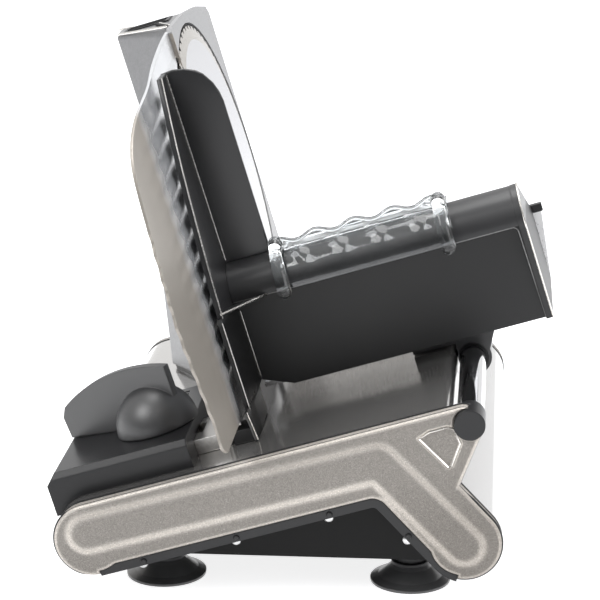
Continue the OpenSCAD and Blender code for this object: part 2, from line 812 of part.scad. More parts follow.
// Knob: dome with the long grip through it
module knob() {
    color("dimgray") tilted() translate([knob_u, knob_y, 0]) difference() {
        union() {
            rotate([0, 0, grip_a]) translate([0, 0, knob_w0]) difference() {
                sphere(knob_r, $fn = 96);
                translate([0, 0, -50]) cube(100, center = true);
            }
            rotate([0, 0, grip_a]) rotate([90, 0, 0])
                translate([0, 0, -grip_t / 2]) linear_extrude(grip_t)
                intersection() {
                    translate([2, unit_top - 53]) circle(85, $fn = 180);
                    polygon([[-9, knob_w0], [-15.8, unit_top + 10],
                        [-15, unit_top + 40], [grip_l - 8, unit_top + 40],
                        [grip_l - 3.2, unit_top + 18], [grip_l, unit_top + 11.5],
                        [grip_l - 1.2, knob_w0]]);
                }
        }
        translate([0, 0, knob_w0 - 1]) cylinder(h = 10, r = 3);
    }
}
module knob_shaft() {
    color("ivory") tilted() translate([knob_u, knob_y, 0]) {
        translate([0, 0, foot_w0]) cylinder(h = knob_w0 + 9 - foot_w0, r = 3);
        translate([0, 0, foot_w0]) linear_extrude(foot_t)
            gear2(rack_m, z_knob, 90);
    }
}

// Foot that slides in the unit, with the rack behind the pinion
module rack2() {
    p = PI * rack_m;
    y = knob_y + kr;
    n = 12;
    for (i = [-n : n]) let(u = knob_u + (i + 0.5) * p)
        if (u > 30 && u < 60)
        polygon([[u - p * 0.38, y + rack_m * 1.2 + 1],
            [u - p * 0.38, y + rack_m * 1.15],
            [u - p * 0.11, y - rack_m * 0.85],
            [u + p * 0.11, y - rack_m * 0.85],
            [u + p * 0.38, y + rack_m * 1.15],
            [u + p * 0.38, y + rack_m * 1.2 + 1]]);
}
module stop_foot() {
    win_u0 = knob_u - kr - travel_shut - 1.6;
    win_u1 = knob_u + kr + travel_open + 1.6;
    color("silver") tilted() translate([0, 0, foot_w0]) linear_extrude(foot_t)
        union() {
            difference() {
                translate([foot_u0, foot_y0])
                    square([foot_u1 - foot_u0, foot_y1 - foot_y0]);
                translate([win_u0, knob_y - kr - 1.5]) square([win_u1 - win_u0,
                    2 * kr + 1.5 + rack_m * 1.15]);
            }
            rack2();
        }
}
shelf_w0 = foot_w1 + 1.2;
stop_back = stop_u - stop_t;
module stop_bracket() {
    color("dimgray") tilted() {
        difference() {
            union() {
                box(foot_u1, foot_u1 + 1.6, foot_y0 + 2, foot_y1, foot_w0,
                    shelf_w0 + 4);
                box(foot_u1, stop_back, foot_y0 + 2, foot_y1, shelf_w0,
                    shelf_w0 + 4);
            }
        }
        for (y = [foot_y0 + 4, foot_y1 - 5]) ext_y(y, y + 3)
            polygon([[foot_u1 + 2, shelf_w0 + 3.9], [stop_back, shelf_w0 + 3.9],
                [stop_back, shelf_w0 + 44], [stop_back - 2.5, shelf_w0 + 44]]);
    }
}
// Outline of the stop plate in (y, w)
function on_plate(a, b) = [stop_y0 + a * (guard_y0 - 0.7 - stop_y0) / 191.3,
    30 + (b - 30) * (house_top - 32) / 178.5];
function stop_pts() = concat(curve([for (p = [[18, 30], [10.5, 35], [11, 45],
    [8, 60], [4, 77], [0, 98], [2.5, 117], [6.5, 140], [10.5, 159], [16, 172],
    [27, 180], [42, 185.5], [61, 189.5], [82, 192], [104, 195], [130, 201],
    [164, 206], [191.3, 208.5]]) on_plate(p[0], p[1])]),
    [[guard_y0 - 0.7, 27]]);
module stop_plate() {
    color("tan") tilted() difference() {
        union() {
            ext_u(stop_back, stop_u) polygon(stop_pts());
            intersection() {
                ext_u(stop_u - 1, stop_u + rib_h) polygon(stop_pts());
                for (k = [0 : 11]) translate([stop_u + rib_h - 5, 30 - 0.6 * k,
                    54 + rib_pitch * k]) rotate([-84.3, 0, 0])
                    cylinder(h = 200, r = 5);
            }
        }
        cyl_u(60, 100, bc, blade_r + stop_gap);
    }
}

// Carriage
module seam_top() {
    polygon([[side_y0, -50], [side_y0, seam_w0], [wall_y0, seam_w1],
        [wall_y0, -50]]);
}
module band2(r) {
    translate([wall_y1, band_w]) circle(r);
}
module carriage_body() {
    color("dimgray") tilted() {
        // side plate down to the skid
        ext_u(side_u, side_u1) difference() {
            seam_top();
            translate([0, -60]) square([200, 60 + foot_w0]);
            translate([50, -60]) square([200, 60 + 32]);
        }
        // skid under the side plate
        box(skid_u0, side_u1, skid_y0, 49.5, foot_w0, foot_w0 + skid_t);
        box(side_u, side_u1, skid_y0, 49.5, foot_w0, 32);
        // front wall with its cut corner
        ext_y(wall_y0, wall_y1) polygon([[side_u, 33], [side_u, seam_w1],
            [wing_u1, seam_w1], [wing_u1, band_w1 - wall_t],
            [end_u + eps, band_w1 - wall_t], [end_u + eps, tray_w - 1.2],
            [105, tray_w - 1.2]]);
        // rolled band
        ext_u(wing_u1, end_u + eps) intersection() {
            difference() {
                band2(band_r);
                band2(band_r - wall_t);
            }
            translate([wall_y1 - 40, band_w]) square([40, 40]);
        }
        // end plate
        ext_u(end_u, end_u1) union() {
            intersection() {
                band2(band_r + 0.3);
                translate([wall_y1 - 40, band_w]) square([40, 40]);
            }
            polygon([[wall_y0 - 2.6, tray_w - 1.5],
                [wall_y1 - band_r - 0.3, band_w - 1],
                [wall_y1 - band_r - 0.3, band_w], [wall_y1, band_w],
                [wall_y1, band_w1 + 0.3], [back_y0, tray_w + back_h],
                [back_y0, tray_w - 1.5]]);
        }
        // rail on the front wall for the holder hooks
        box(side_u1 + 24.2, end_u, wall_y1 - eps, wall_y1 + 1.2, 50, 54);
    }
}
block_u = rod_u - rod_r - 0.4;
module block2() {
    polygon([[rod_u - 29.5, foot_w0 + 0.5], [rod_u - 29.5, tray_w],
        [rod_u + 16.5, tray_w], [rod_u + 16.5, 24], [rod_u + 8.5, 9],
        [rod_u + 4.5, 1], [rod_u, -0.4], [block_u, 3],
        [block_u, foot_w0 + 0.5]]);
    translate([rod_u, rod_w]) circle(rod_r + 2.9);
}
module bearing_block() {
    y1 = bearing_y0 + bearing_l;
    color("dimgray") tilted() difference() {
        ext_y(bearing_y0, y1) difference() {
            block2();
            translate([rod_u, rod_w]) circle(bush_r);
            translate([block_u - 40, -40]) square([40, 40 + foot_w0 + 0.5]);
        }
        for (y = [bearing_y0 + 10, y1 - 10]) translate([rod_u - 19.3, y, foot_w0 - 1])
            cylinder(h = 20, r = 1.5);
    }
}
module rod_bushes() {
    y1 = bearing_y0 + bearing_l;
    color("black") tilted() for (y = [bearing_y0 + 1, y1 - 15]) difference() {
        cyl_y(y, y + 14, [rod_u, rod_w], bush_r);
        cyl_y(y - 1, y + 15, [rod_u, rod_w], rod_r + fit_gap);
    }
}
tray_u0 = side_u1 + 0.3;
module tray_floor() {
    color("black") tilted() difference() {
        box(tray_u0, end_u, wall_y1, back_y0, tray_w, tray_w + tray_t);
        for (k = [0 : 9]) box(tray_u0 + 8, end_u - 6, wall_y1 + 4 + 6.6 * k,
            wall_y1 + 6.6 + 6.6 * k, tray_w + tray_t - 0.6, tray_w + 10);
        for (y = [bearing_y0 + 10, bearing_y0 + bearing_l - 10])
            translate([rod_u - 19.3, y, tray_w - 1]) cylinder(h = 20, r = 1.6);
    }
}
module back2(w1) {
    k = (w1 - tray_w) / back_h;
    polygon([[tray_u0, tray_w - 1.5], [end_u1, tray_w - 1.5],
        [end_u1 + 5 * k, w1], [tray_u0, w1]]);
}
module tray_back() {
    color("silver") tilted() ext_y(back_y0, back_y0 + back_t)
        back2(tray_w + back_h);
}
module tray_back_cap() {
    w = tray_w + back_h;
    color("black") tilted() difference() {
        box(tray_u0, end_u1 + 5.6, back_y0 - 1.2, back_y0 + back_t + 1.2,
            w - 2, w + 2.2);
        box(0, 300, back_y0, back_y0 + back_t, w - 9, w);
        box(end_u - 0.1, end_u1 + 0.1, 0, back_y0, 0, w + 0.7);
    }
}
module carriage_screws() {
    color("silver") tilted() {
        for (y = [bearing_y0 + 10, bearing_y0 + bearing_l - 10])
            translate([rod_u - 19.3, y, 0]) {
                translate([0, 0, foot_w0 + 1]) cylinder(h = tray_w + tray_t
                    - foot_w0 - 1, r = 1.45);
                translate([0, 0, tray_w + tray_t]) cylinder(h = 0.9, r1 = 3,
                    r2 = 2.2);
            }
    }
}
// Hand guard: side wing and face plate
hand_y1 = wall_y1 + 2.4;
module hand_guard() {
    ft = hand_top;
    k = hand_u1;
    color("dimgray") tilted() difference() {
        union() {
            ext_u(side_u, wing_u1) polygon(concat(curve([
                [side_y0 + 3, seam_w0 - (seam_w0 - seam_w1) * 3 / (wall_y0
                    - side_y0)], [side_y0 + 7.6, 110],
                [side_y0 + 20, ft - 41], [side_y0 + 39.4, ft]], 6),
                [[hand_y1, ft + 0.3], [hand_y1, 60], [wall_y1, 60],
                [wall_y1, seam_w1], [wall_y0, seam_w1]]));
            ext_y(wall_y1, hand_y1) polygon([[side_u, 60], [side_u, ft + 0.3],
                [side_u + 6, ft + 0.9], [k - 14.4, ft - 0.2],
                [k - 9.1, ft - 2.5], [k - 6, ft - 5.1], [k - 2.4, ft - 10.8],
                [k - 0.7, ft - 15.9], [k, ft - 20.8], [k, 60]]);
        }
        for (u = [94, 108]) for (w = [64, 90])
            cyl_y(wall_y1 - 1, hand_y1 + 1, [u, w], 1.5);
    }
}
module hand_guard_screws() {
    color("silver") tilted() for (u = [94, 108]) for (w = [64, 90])
        cyl_y(hand_y1, hand_y1 + 0.5, [u, w], 2.2);
}

// Clear food holder that rides on the band
hold_u1 = hold_u0 + hold_l;
hr0 = band_r + 0.3;
hr1 = hr0 + hold_t;
crest = band_w + hr1;
function wave(u) = crest + 3 + 1.4 * sin(360 * (u - hold_u0) / wave_p);
crest_u0 = hold_u0 + 2 * post_r + 0.8;
crest_u1 = hold_u1 - 2 * post_r - 0.8;
module holder_saddle() {
    color("lightcyan") tilted() {
        ext_u(hold_u0, hold_u1) intersection() {
            difference() {
                band2(hr1);
                band2(hr0);
            }
            translate([wall_y1 - 40, band_w - 1]) square([40, 60]);
        }
        // ribs of the skirt
        for (k = [1 : floor(hold_l / 9) - 1]) ext_u(hold_u0 + 9 * k,
            hold_u0 + 9 * k + 3) intersection() {
            difference() {
                band2(hr1 + 0.8);
                band2(hr1 - 0.1);
            }
            translate([wall_y1 - 40, band_w + 1]) square([28, 60]);
        }
        // wavy crest
        ext_y(wall_y1 - 8, wall_y1 - 5.6) polygon(concat([[crest_u0, crest - 3]],
            [for (i = [0 : 42]) let(u = crest_u0 + (crest_u1 - crest_u0)
                * i / 42) [u, wave(u)]], [[crest_u1, crest - 3]]));
    }
}
post_a = 74;
module holder_posts() {
    r = hr1 + post_r - 0.4;
    far = 2 * r;
    color("lightcyan") tilted() difference() {
        for (u = [hold_u0 + post_r + 0.4, hold_u1 - post_r - 0.4]) {
            intersection() {
                translate([u, wall_y1, band_w]) rotate([90, 0, 90])
                    rotate_extrude() translate([r, 0])
                    circle(post_r, $fn = 24);
                ext_u(u - post_r - 1, u + post_r + 1) polygon([
                    [wall_y1, band_w], [wall_y1 - far, band_w],
                    [wall_y1 - far, band_w + far],
                    [wall_y1 - far * cos(post_a), band_w
                        + far * sin(post_a)]]);
            }
            for (a = [0, post_a]) translate([u, wall_y1 - r * cos(a),
                band_w + r * sin(a)]) sphere(post_r + 0.4, $fn = 24);
        }
        cyl_u(hold_u0 - 9, hold_u1 + 9, [wall_y1, band_w], hr1);
    }
}
push_u0 = side_u + 9.4;
module holder_pusher() {
    y0 = hand_y1 + 0.6;
    color("lightcyan") tilted() difference() {
        union() {
            // web behind the wall, with the hook over the band
            box(push_u0, hold_u1, y0, y0 + 2.4, 58, band_w1 - 1);
            box(hold_u0, hold_u1, y0, y0 + 2.4, 58, crest);
            box(hold_u0, hold_u1, wall_y1, y0 + 2.4, band_w + hr0, crest);
            // pusher
            box(push_u0, push_u0 + 2.5, y0, back_y0 - 4, tray_w + tray_t + 1.5,
                band_w1 - 1);
            for (w = [36 : 8 : 84]) box(push_u0 - 1.5, push_u0 + 0.1, y0 + 3,
                back_y0 - 6, w, w + 1.2);
        }
    }
}

base_sheet();
base_pan();
front_cover();
front_frame();
rear_cover();
rear_frame();
cheek_screws();
suction_cups();
foot_necks();
foot_screws();
guide_rod();
rod_caps();
motor_housing();
housing_seat();
guard_plate();
guard_screws();
gear_plate();
gear_frame();
blade_shaft();
middle_pin();
motor_body();
mains_gland();
switch_bezel();
control_unit();
blade();
blade_hub();
blade_gear();
blade_lock();
middle_gear();
motor_rotor();
switch_rocker();
knob();
knob_shaft();
stop_plate();
stop_bracket();
stop_foot();
carriage_body();
bearing_block();
rod_bushes();
tray_floor();
tray_back();
tray_back_cap();
carriage_screws();
hand_guard();
hand_guard_screws();
holder_saddle();
holder_posts();
holder_pusher();
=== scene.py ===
import json
import math
import bpy
import bmesh
import numpy as np
from mathutils import Matrix, Vector
from mathutils.geometry import delaunay_2d_cdt


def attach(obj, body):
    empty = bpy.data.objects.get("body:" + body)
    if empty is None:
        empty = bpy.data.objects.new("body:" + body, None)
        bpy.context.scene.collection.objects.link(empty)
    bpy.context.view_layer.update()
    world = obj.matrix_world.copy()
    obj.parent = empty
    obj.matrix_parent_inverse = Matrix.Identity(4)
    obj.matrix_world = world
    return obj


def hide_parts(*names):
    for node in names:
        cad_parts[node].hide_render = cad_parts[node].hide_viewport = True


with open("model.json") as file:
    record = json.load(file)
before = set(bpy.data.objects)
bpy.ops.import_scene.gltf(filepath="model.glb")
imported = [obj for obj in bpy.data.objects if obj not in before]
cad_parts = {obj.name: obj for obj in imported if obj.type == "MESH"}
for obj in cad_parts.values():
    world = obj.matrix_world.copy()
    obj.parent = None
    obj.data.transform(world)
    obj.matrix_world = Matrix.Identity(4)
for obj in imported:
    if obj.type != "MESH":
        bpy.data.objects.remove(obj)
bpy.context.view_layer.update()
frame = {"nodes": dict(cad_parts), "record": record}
cad_nodes = frame["nodes"]
MM = 0.001

# The tilted frame of the source: u across, y back, w up from the table
TILT = math.radians(16.5)
X_MID, Y_MID, LEFT_H = 99.7626, 127.3, 32.0
U_AXIS = Vector((math.cos(TILT), 0, math.sin(TILT)))
W_AXIS = Vector((-math.sin(TILT), 0, math.cos(TILT)))

# Sizes of the source, in millimetres of the tilted frame
COVER_T, CHEEK_T, BASE_D = 7.0, 14.0, 288.0
GUARD_Y0, HOUSE_TOP = 158.0, 210.5
BLADE_U, BLADE_Y, BLADE_W, BLADE_R = 85.9, 200.0, 118.5, 85.0
BLADE_T, BEVEL_L, TIP_T, TEETH = 1.4, 8.0, 0.35, 64
STOP_U, STOP_T = 83.4, 1.4
SIDE_U, SIDE_Y0, SEAM_W0, SEAM_W1 = 86.6, 35.0, 80.5, 72.0
WING_U1, WALL_Y0, WALL_Y1 = 89.4, 85.6, 88.0
HAND_U1, HAND_Y1, HAND_TOP = 113.0, 90.4, 196.0
BAND_R, BAND_W, TRAY_W = 17.0, 78.3, 27.0
END_U0, END_U1 = 237.4, 241.0
HOLD_U0, HOLD_L, HOLD_T, HOLD_GAP, POST_R = 113.6, 92.0, 2.0, 0.3, 3.3

# Where a painted tone changes, in the same millimetres
# LEG_SHADE: heights over which painted shade darkens the leg of the covers
LEG_SHADE = (-6, -40)
PAINT_END = (20, 38)
# BAND_FOOT: below it the carriage wall is painted darker, as shade under the band's
# lip
BAND_FOOT = (BAND_W - 1.8, BAND_W + 0.2)
BEVEL_START = (BLADE_R - BEVEL_L - 0.2, BLADE_R - BEVEL_L + 0.4)


def place(u, y, w):
    """Point of the tilted frame, in millimetres, as a scene point in metres."""
    p = U_AXIS * u + W_AXIS * w
    return Vector((p.x - X_MID, y - Y_MID, p.z + LEFT_H)) * MM


def unplace(point):
    """Scene point in metres as u, y, w in millimetres."""
    p = point / MM + Vector((X_MID, Y_MID, -LEFT_H))
    return p.dot(U_AXIS), p.y, p.dot(W_AXIS)


# Node trees
class Tree:
    """A node tree, with short ways to add nodes and to feed them."""

    def __init__(self, tree):
        self.nodes, self.links = tree.nodes, tree.links
        self.nodes.clear()

    def feed(self, socket, value):
        """Give a socket another node's output or a plain value."""
        if isinstance(value, bpy.types.NodeSocket):
            self.links.new(value, socket)
        else:
            socket.default_value = value

    def add(self, kind, inputs=None, **settings):
        """A node with its settings, its inputs fed by name or by place."""
        node = self.nodes.new(kind)
        for name, value in settings.items():
            setattr(node, name, value)
        for name, value in (inputs or {}).items():
            self.feed(node.inputs[name], value)
        return node

    def calc(self, operation, *values):
        return self.add("ShaderNodeMath", dict(enumerate(values)),
                        operation=operation).outputs[0]

    def span(self, value, start, end, low, high):
        """A value between start and end, as one between low and high."""
        return self.add("ShaderNodeMapRange", {
            "Value": value, "From Min": start, "From Max": end,
            "To Min": low, "To Max": high}).outputs[0]

    def ramp(self, factor, stops):
        node = self.add("ShaderNodeValToRGB", {0: factor})
        marks = node.color_ramp.elements
        while len(marks) < len(stops):
            marks.new(0.5)
        for mark, (position, tone) in zip(marks, stops):
            mark.position = position
            mark.color = (*tone, 1)
        return node.outputs[0]

    def tones(self, factor, dark, light):
        """A colour between two tones, by a noise that lies round a half."""
        return self.ramp(factor, [(0.3, dark), (0.7, light)])

    def mix(self, factor, first, second, blend="MIX"):
        return self.add("ShaderNodeMix", {0: factor, 6: first, 7: second},
                        data_type="RGBA", blend_type=blend).outputs[2]

    def multiply(self, first, second):
        return self.mix(1.0, first, second, "MULTIPLY")

    def noise(self, vector, scale, detail=3.0, rough=0.5):
        return self.add("ShaderNodeTexNoise", {
            "Vector": vector, "Scale": scale, "Detail": detail,
            "Roughness": rough}).outputs["Fac"]

    def coords(self, stretch=(1, 1, 1)):
        """Coordinates of the object, in metres."""
        spot = self.add("ShaderNodeTexCoord").outputs["Object"]
        return self.add("ShaderNodeMapping", {
            "Vector": spot, "Scale": stretch}).outputs[0]

    def tilted_coords(self):
        """Outputs X, Y and Z that hold u, y and w in millimetres."""
        shift = (X_MID * math.cos(TILT) - LEFT_H * math.sin(TILT), Y_MID,
                 -X_MID * math.sin(TILT) - LEFT_H * math.cos(TILT))
        spot = self.add("ShaderNodeTexCoord").outputs["Object"]
        tilted = self.add("ShaderNodeMapping", {
            "Vector": spot, "Scale": (1 / MM,) * 3,
            "Rotation": (0, TILT, 0), "Location": shift})
        return self.add("ShaderNodeSeparateXYZ", {0: tilted.outputs[0]}).outputs

    def normal(self, axis):
        """One part of the surface's normal."""
        whole = self.add("ShaderNodeTexCoord").outputs["Normal"]
        return self.add("ShaderNodeSeparateXYZ", {0: whole}).outputs[axis]

    def seen_ray(self):
        """1 where the camera looks, also by a mirror or through clear plastic."""
        path = self.add("ShaderNodeLightPath").outputs
        return self.calc("MAXIMUM", path["Is Camera Ray"],
                         self.calc("MAXIMUM", path["Is Glossy Ray"],
                                   path["Is Transmission Ray"]))


class Look(Tree):
    """A material that ends in one Principled shader."""

    def __init__(self, name):
        self.material = bpy.data.materials.new(name)
        self.material.use_nodes = True
        super().__init__(self.material.node_tree)
        self.shader = self.add("ShaderNodeBsdfPrincipled")
        self.add("ShaderNodeOutputMaterial", {0: self.shader.outputs[0]})

    def surface(self, inputs):
        for name, value in inputs.items():
            self.feed(self.shader.inputs[name], value)

    def bump(self, height, strength, depth, edge=0.0):
        """Fine relief; edge is the radius that sharp edges seem to have."""
        inputs = {"Height": height, "Strength": strength, "Distance": depth}
        if edge:
            inputs["Normal"] = self.add("ShaderNodeBevel", {"Radius": edge},
                                        samples=4).outputs[0]
        self.surface({"Normal": self.add("ShaderNodeBump", inputs).outputs[0]})


# Materials
WHITE_TONE = (1, 1, 1)
HANDLING = 22
COAT_ROUGH = 0.22


def plastic(name, dark, light, rough, grain=900, depth=0.00004, edge=0.0006,
            spec=0.4, coat=0.0):
    """Moulded plastic with a fine grain and a little wear."""
    look = Look(name)
    spot = look.coords()
    wear = look.noise(spot, HANDLING, 4)
    look.surface({
        "Base Color": look.tones(wear, dark, light),
        "Roughness": look.span(wear, 0.2, 0.8, rough - 0.02, rough + 0.02),
        "Specular IOR Level": spec,
        "Coat Weight": coat,
        "Coat Roughness": COAT_ROUGH})
    look.bump(look.noise(spot, grain, 2), 0.35, depth, edge)
    return look.material


def metal(name, dark, light, rough, stretch=(1, 1, 1), scale=220, aniso=0.0,
          edge=0.0004, streak=0.10, metallic=1.0, depth=0.00002):
    """Drawn or turned metal, its streaks stretched along an axis."""
    look = Look(name)
    lines = look.noise(look.coords(stretch), scale, 5, 0.6)
    wear = look.noise(look.coords(), 14, 3)
    half = streak / 2
    look.surface({
        "Base Color": look.tones(lines, dark, light),
        "Roughness": look.calc(
            "ADD", look.span(lines, 0.3, 0.7, rough - half, rough + half),
            look.span(wear, 0.3, 0.7, -0.03, 0.03)),
        "Metallic": metallic,
        "Anisotropic": aniso})
    look.bump(lines, 0.25, depth, edge)
    return look.material


def sparkle(name, ground, fleck, dark, rough, metallic, mottle, edge=0.0008,
            cell=3600, slope_highlight=0.0):
    """Metallic paint: a ground tone with very fine light and dark flecks."""
    look = Look(name)
    spot = look.coords()
    flakes = look.add("ShaderNodeTexVoronoi", {"Scale": cell, "Vector": spot})
    draw = look.add("ShaderNodeSeparateColor", {0: flakes.outputs["Color"]})
    cloud = look.noise(spot, 420, 3)
    tone = look.ramp(draw.outputs[0], [(0.0, dark), (0.25, ground),
                                       (0.75, ground), (1.0, fleck)])
    tone = look.multiply(tone, look.tones(cloud, (1 - mottle,) * 3, WHITE_TONE))
    if slope_highlight:
        # Painted highlight: the slopes are painted lighter than the flat face
        facing = look.calc("ABSOLUTE", look.normal("Y"))
        slope = look.span(facing, 0.9998, 0.980, 0, 1)
        tone = look.multiply(tone, look.ramp(slope, [(0, (1 - slope_highlight,) * 3),
                                                     (1, WHITE_TONE)]))
        # Painted shade: the leg is painted darker, as it looks away from the light
        low = look.span(look.tilted_coords()["Z"], *LEG_SHADE, 0, 1)
        tone = look.multiply(tone, look.ramp(low, [(0, WHITE_TONE),
                                                   (1, (0.80, 0.79, 0.78))]))
    look.surface({
        "Base Color": tone,
        "Roughness": look.span(draw.outputs[1], 0, 1, rough - 0.06, rough + 0.06),
        "Metallic": metallic})
    look.bump(cloud, 0.15, 0.00004, edge)
    return look.material


def brushed_sheet(name, dark, light):
    """Sheet brushed along the table: long fine lines across u."""
    look = Look(name)
    spot = look.tilted_coords()
    along, across = 0.012, 1.4
    squeezed = look.add("ShaderNodeCombineXYZ", {
        axis: look.calc("MULTIPLY", spot[axis], share)
        for axis, share in (("X", along), ("Y", across), ("Z", across))})
    lines = look.noise(squeezed.outputs[0], 1.6, 4, 0.6)
    wear = look.noise(look.coords(), 12, 3)
    # Painted shade: the bent side is painted darker than the top, as it catches
    # less light
    side = look.span(look.normal("X"), 0.5, 0.8, 0, 1)
    # The lines blur its reflections along y
    tangent = look.add("ShaderNodeCombineXYZ", {
        "X": look.span(wear, 0.3, 0.7, -0.02, 0.02),
        "Y": look.span(wear, 0.3, 0.7, 0.98, 1.0)})
    look.surface({
        "Base Color": look.multiply(
            look.tones(lines, dark, light),
            look.ramp(side, [(0, WHITE_TONE), (1, (0.70, 0.705, 0.72))])),
        "Roughness": look.calc(
            "ADD", look.span(lines, 0.3, 0.7, 0.12, 0.15),
            look.span(wear, 0.3, 0.7, -0.02, 0.02)),
        "Metallic": 0.88,
        "Anisotropic": 0.6,
        "Tangent": tangent.outputs[0]})
    return look.material


def turned_blade(name):
    """Blade: fine turned steel, with its ground bevel in a warmer tone."""
    look = Look(name)
    spot = look.tilted_coords()
    squares = []
    for axis, centre in (("Y", BLADE_Y), ("Z", BLADE_W)):
        off = look.calc("SUBTRACT", spot[axis], centre)
        squares.append(look.calc("MULTIPLY", off, off))
    radius = look.calc("SQRT", look.calc("ADD", *squares))
    rings = look.noise(look.add("ShaderNodeCombineXYZ",
                                {"X": radius}).outputs[0], 2.6, 3, 0.6)
    grit = look.noise(look.coords(), 900, 3)
    look.surface({
        "Base Color": look.mix(
            look.span(radius, *BEVEL_START, 0, 1),
            look.tones(rings, (0.50, 0.50, 0.515), (0.58, 0.58, 0.595)),
            look.tones(grit, (0.46, 0.435, 0.40), (0.58, 0.555, 0.52))),
        "Roughness": look.span(rings, 0.3, 0.7, 0.20, 0.28),
        "Metallic": 0.85})
    look.bump(grit, 0.15, 0.00001)
    return look.material


def satin_plate(name):
    """Stop plate: painted at its front, bare metal on its ribs."""
    look = Look(name)
    spot = look.coords()
    grain, wear = look.noise(spot, 2600, 3), look.noise(spot, 30, 3)
    bare = look.span(look.tilted_coords()["Y"], *PAINT_END, 0, 1)
    tone = look.mix(bare,
                    look.tones(grain, (0.35, 0.32, 0.282), (0.39, 0.36, 0.322)),
                    look.tones(wear, (0.66, 0.67, 0.69), (0.80, 0.81, 0.83)))
    # Painted shade: the back is painted darker than the ribbed front
    front = look.span(look.normal("X"), -0.7, -0.2, 0, 1)
    look.surface({
        "Base Color": look.multiply(
            tone, look.ramp(front, [(0, (0.6, 0.6, 0.61)), (1, WHITE_TONE)])),
        "Roughness": look.span(bare, 0, 1, 0.38, 0.24),
        "Metallic": look.span(bare, 0, 1, 0.35, 0.72)})
    look.bump(grain, 0.1, 0.00002)
    return look.material


def carriage_black(name):
    """Black of the carriage: satin band, and below it a near-black wall, its own
    black darkened by painted shade under the band's lip.
    """
    look = Look(name)
    spot = look.coords()
    wear = look.noise(spot, HANDLING, 3)
    band = look.span(look.tilted_coords()["Z"], *BAND_FOOT, 0, 1)
    look.surface({
        "Base Color": look.mix(
            band,
            look.tones(wear, (0.004, 0.004, 0.0045), (0.008, 0.008, 0.0085)),
            look.tones(wear, (0.032, 0.032, 0.033), (0.044, 0.044, 0.045))),
        "Roughness": look.span(band, 0, 1, 0.42, 0.30),
        "Specular IOR Level": 0.45})
    look.bump(look.noise(spot, 2400, 2), 0.3, 0.00001, 0.0009)
    return look.material


def clear_plastic(name):
    """Clear plastic with faint flow lines."""
    look = Look(name)
    flow = look.noise(look.coords(), 60, 3)
    look.surface({
        "Transmission Weight": 1.0,
        "IOR": 1.46,
        "Base Color": look.ramp(flow, [(0.2, (0.93, 0.95, 0.96)),
                                       (0.8, (0.98, 0.99, 1))]),
        "Roughness": look.span(flow, 0.3, 0.7, 0.03, 0.08)})
    look.bump(flow, 0.15, 0.0003)
    return look.material


BLACK = plastic("black_plastic", (0.010, 0.010, 0.011), (0.016, 0.016, 0.017),
                0.38, edge=0.0010, spec=0.4)
DARK = plastic("dark_plastic", (0.020, 0.020, 0.021), (0.024, 0.024, 0.025),
               0.30, grain=2400, depth=0.00001, edge=0.0009, spec=0.5)
KNOB = plastic("knob_plastic", (0.022, 0.022, 0.023), (0.029, 0.029, 0.030),
               0.41, grain=2400, depth=0.00001, edge=0.0010, spec=1.0)
UNIT = plastic("unit_plastic", (0.010, 0.010, 0.011), (0.015, 0.015, 0.016),
               0.30, grain=2600, depth=0.00001, edge=0.0011, spec=0.28,
               coat=0.08)
# Deep black: the pan's and the slot's own black, and painted shade in the gap round
# the blade and in its tooth grooves
DEEP_BLACK_AND_SHADE = plastic("deep_black_and_painted_shade", (0.004, 0.004, 0.004), (0.008, 0.008, 0.008),
               0.55, grain=700, depth=0.00006, edge=0.0006, spec=0.2)
RUBBER = plastic("black_rubber", (0.050, 0.050, 0.050), (0.085, 0.085, 0.085),
                 0.34, grain=300, depth=0.00003, spec=0.8, coat=0.6)
WHITE = plastic("white_plastic", (0.72, 0.71, 0.66), (0.82, 0.81, 0.77), 0.4)
GREY = sparkle("grey_paint", (0.21, 0.21, 0.213), (0.29, 0.29, 0.293),
               (0.15, 0.15, 0.153), rough=0.36, metallic=0.35, mottle=0.05,
               edge=0.0012)
GUARD_GREY = sparkle("guard_paint", (0.34, 0.34, 0.345), (0.44, 0.44, 0.445),
                     (0.27, 0.27, 0.275), rough=0.34, metallic=0.35,
                     mottle=0.04, edge=0.0006)
# Cover paint, with painted highlight on the slopes of the pressed field and painted
# shade on the leg
CHAMPAGNE = sparkle("champagne", (0.54, 0.50, 0.453), (0.86, 0.81, 0.75),
                    (0.31, 0.287, 0.258), rough=0.42, metallic=0.45,
                    mottle=0.06, cell=4300, slope_highlight=0.56)
SATIN = satin_plate("champagne_satin")
CARRIAGE = carriage_black("carriage_plastic")
CLEAR = clear_plastic("clear_plastic")
STEEL = brushed_sheet("polished_steel", (0.60, 0.585, 0.565),
                      (0.64, 0.625, 0.605))
BLADE = turned_blade("blade_steel")
CHROME = metal("chrome_rod", (0.66, 0.66, 0.67), (0.74, 0.74, 0.75), 0.10,
               (1, 0.05, 1), scale=500, streak=0.03, edge=0.0003)
SCREW = metal("steel_screw", (0.55, 0.55, 0.55), (0.66, 0.66, 0.66), 0.25,
              scale=900)
ALUMINIUM = metal("aluminium", (0.60, 0.585, 0.56), (0.72, 0.70, 0.68), 0.32,
                  (1, 0.06, 1), scale=600)
MOTOR = metal("motor_steel", (0.30, 0.30, 0.31), (0.42, 0.42, 0.43), 0.35)
TRAY = metal("tray_steel", (0.66, 0.66, 0.665), (0.72, 0.72, 0.725), 0.28,
             (1, 0.05, 1), scale=900, aniso=0.3, streak=0.04, depth=0.000005)
TRIM = metal("bronze_trim", (0.36, 0.32, 0.28), (0.46, 0.42, 0.37), 0.4,
             scale=900, edge=0, metallic=0.6)
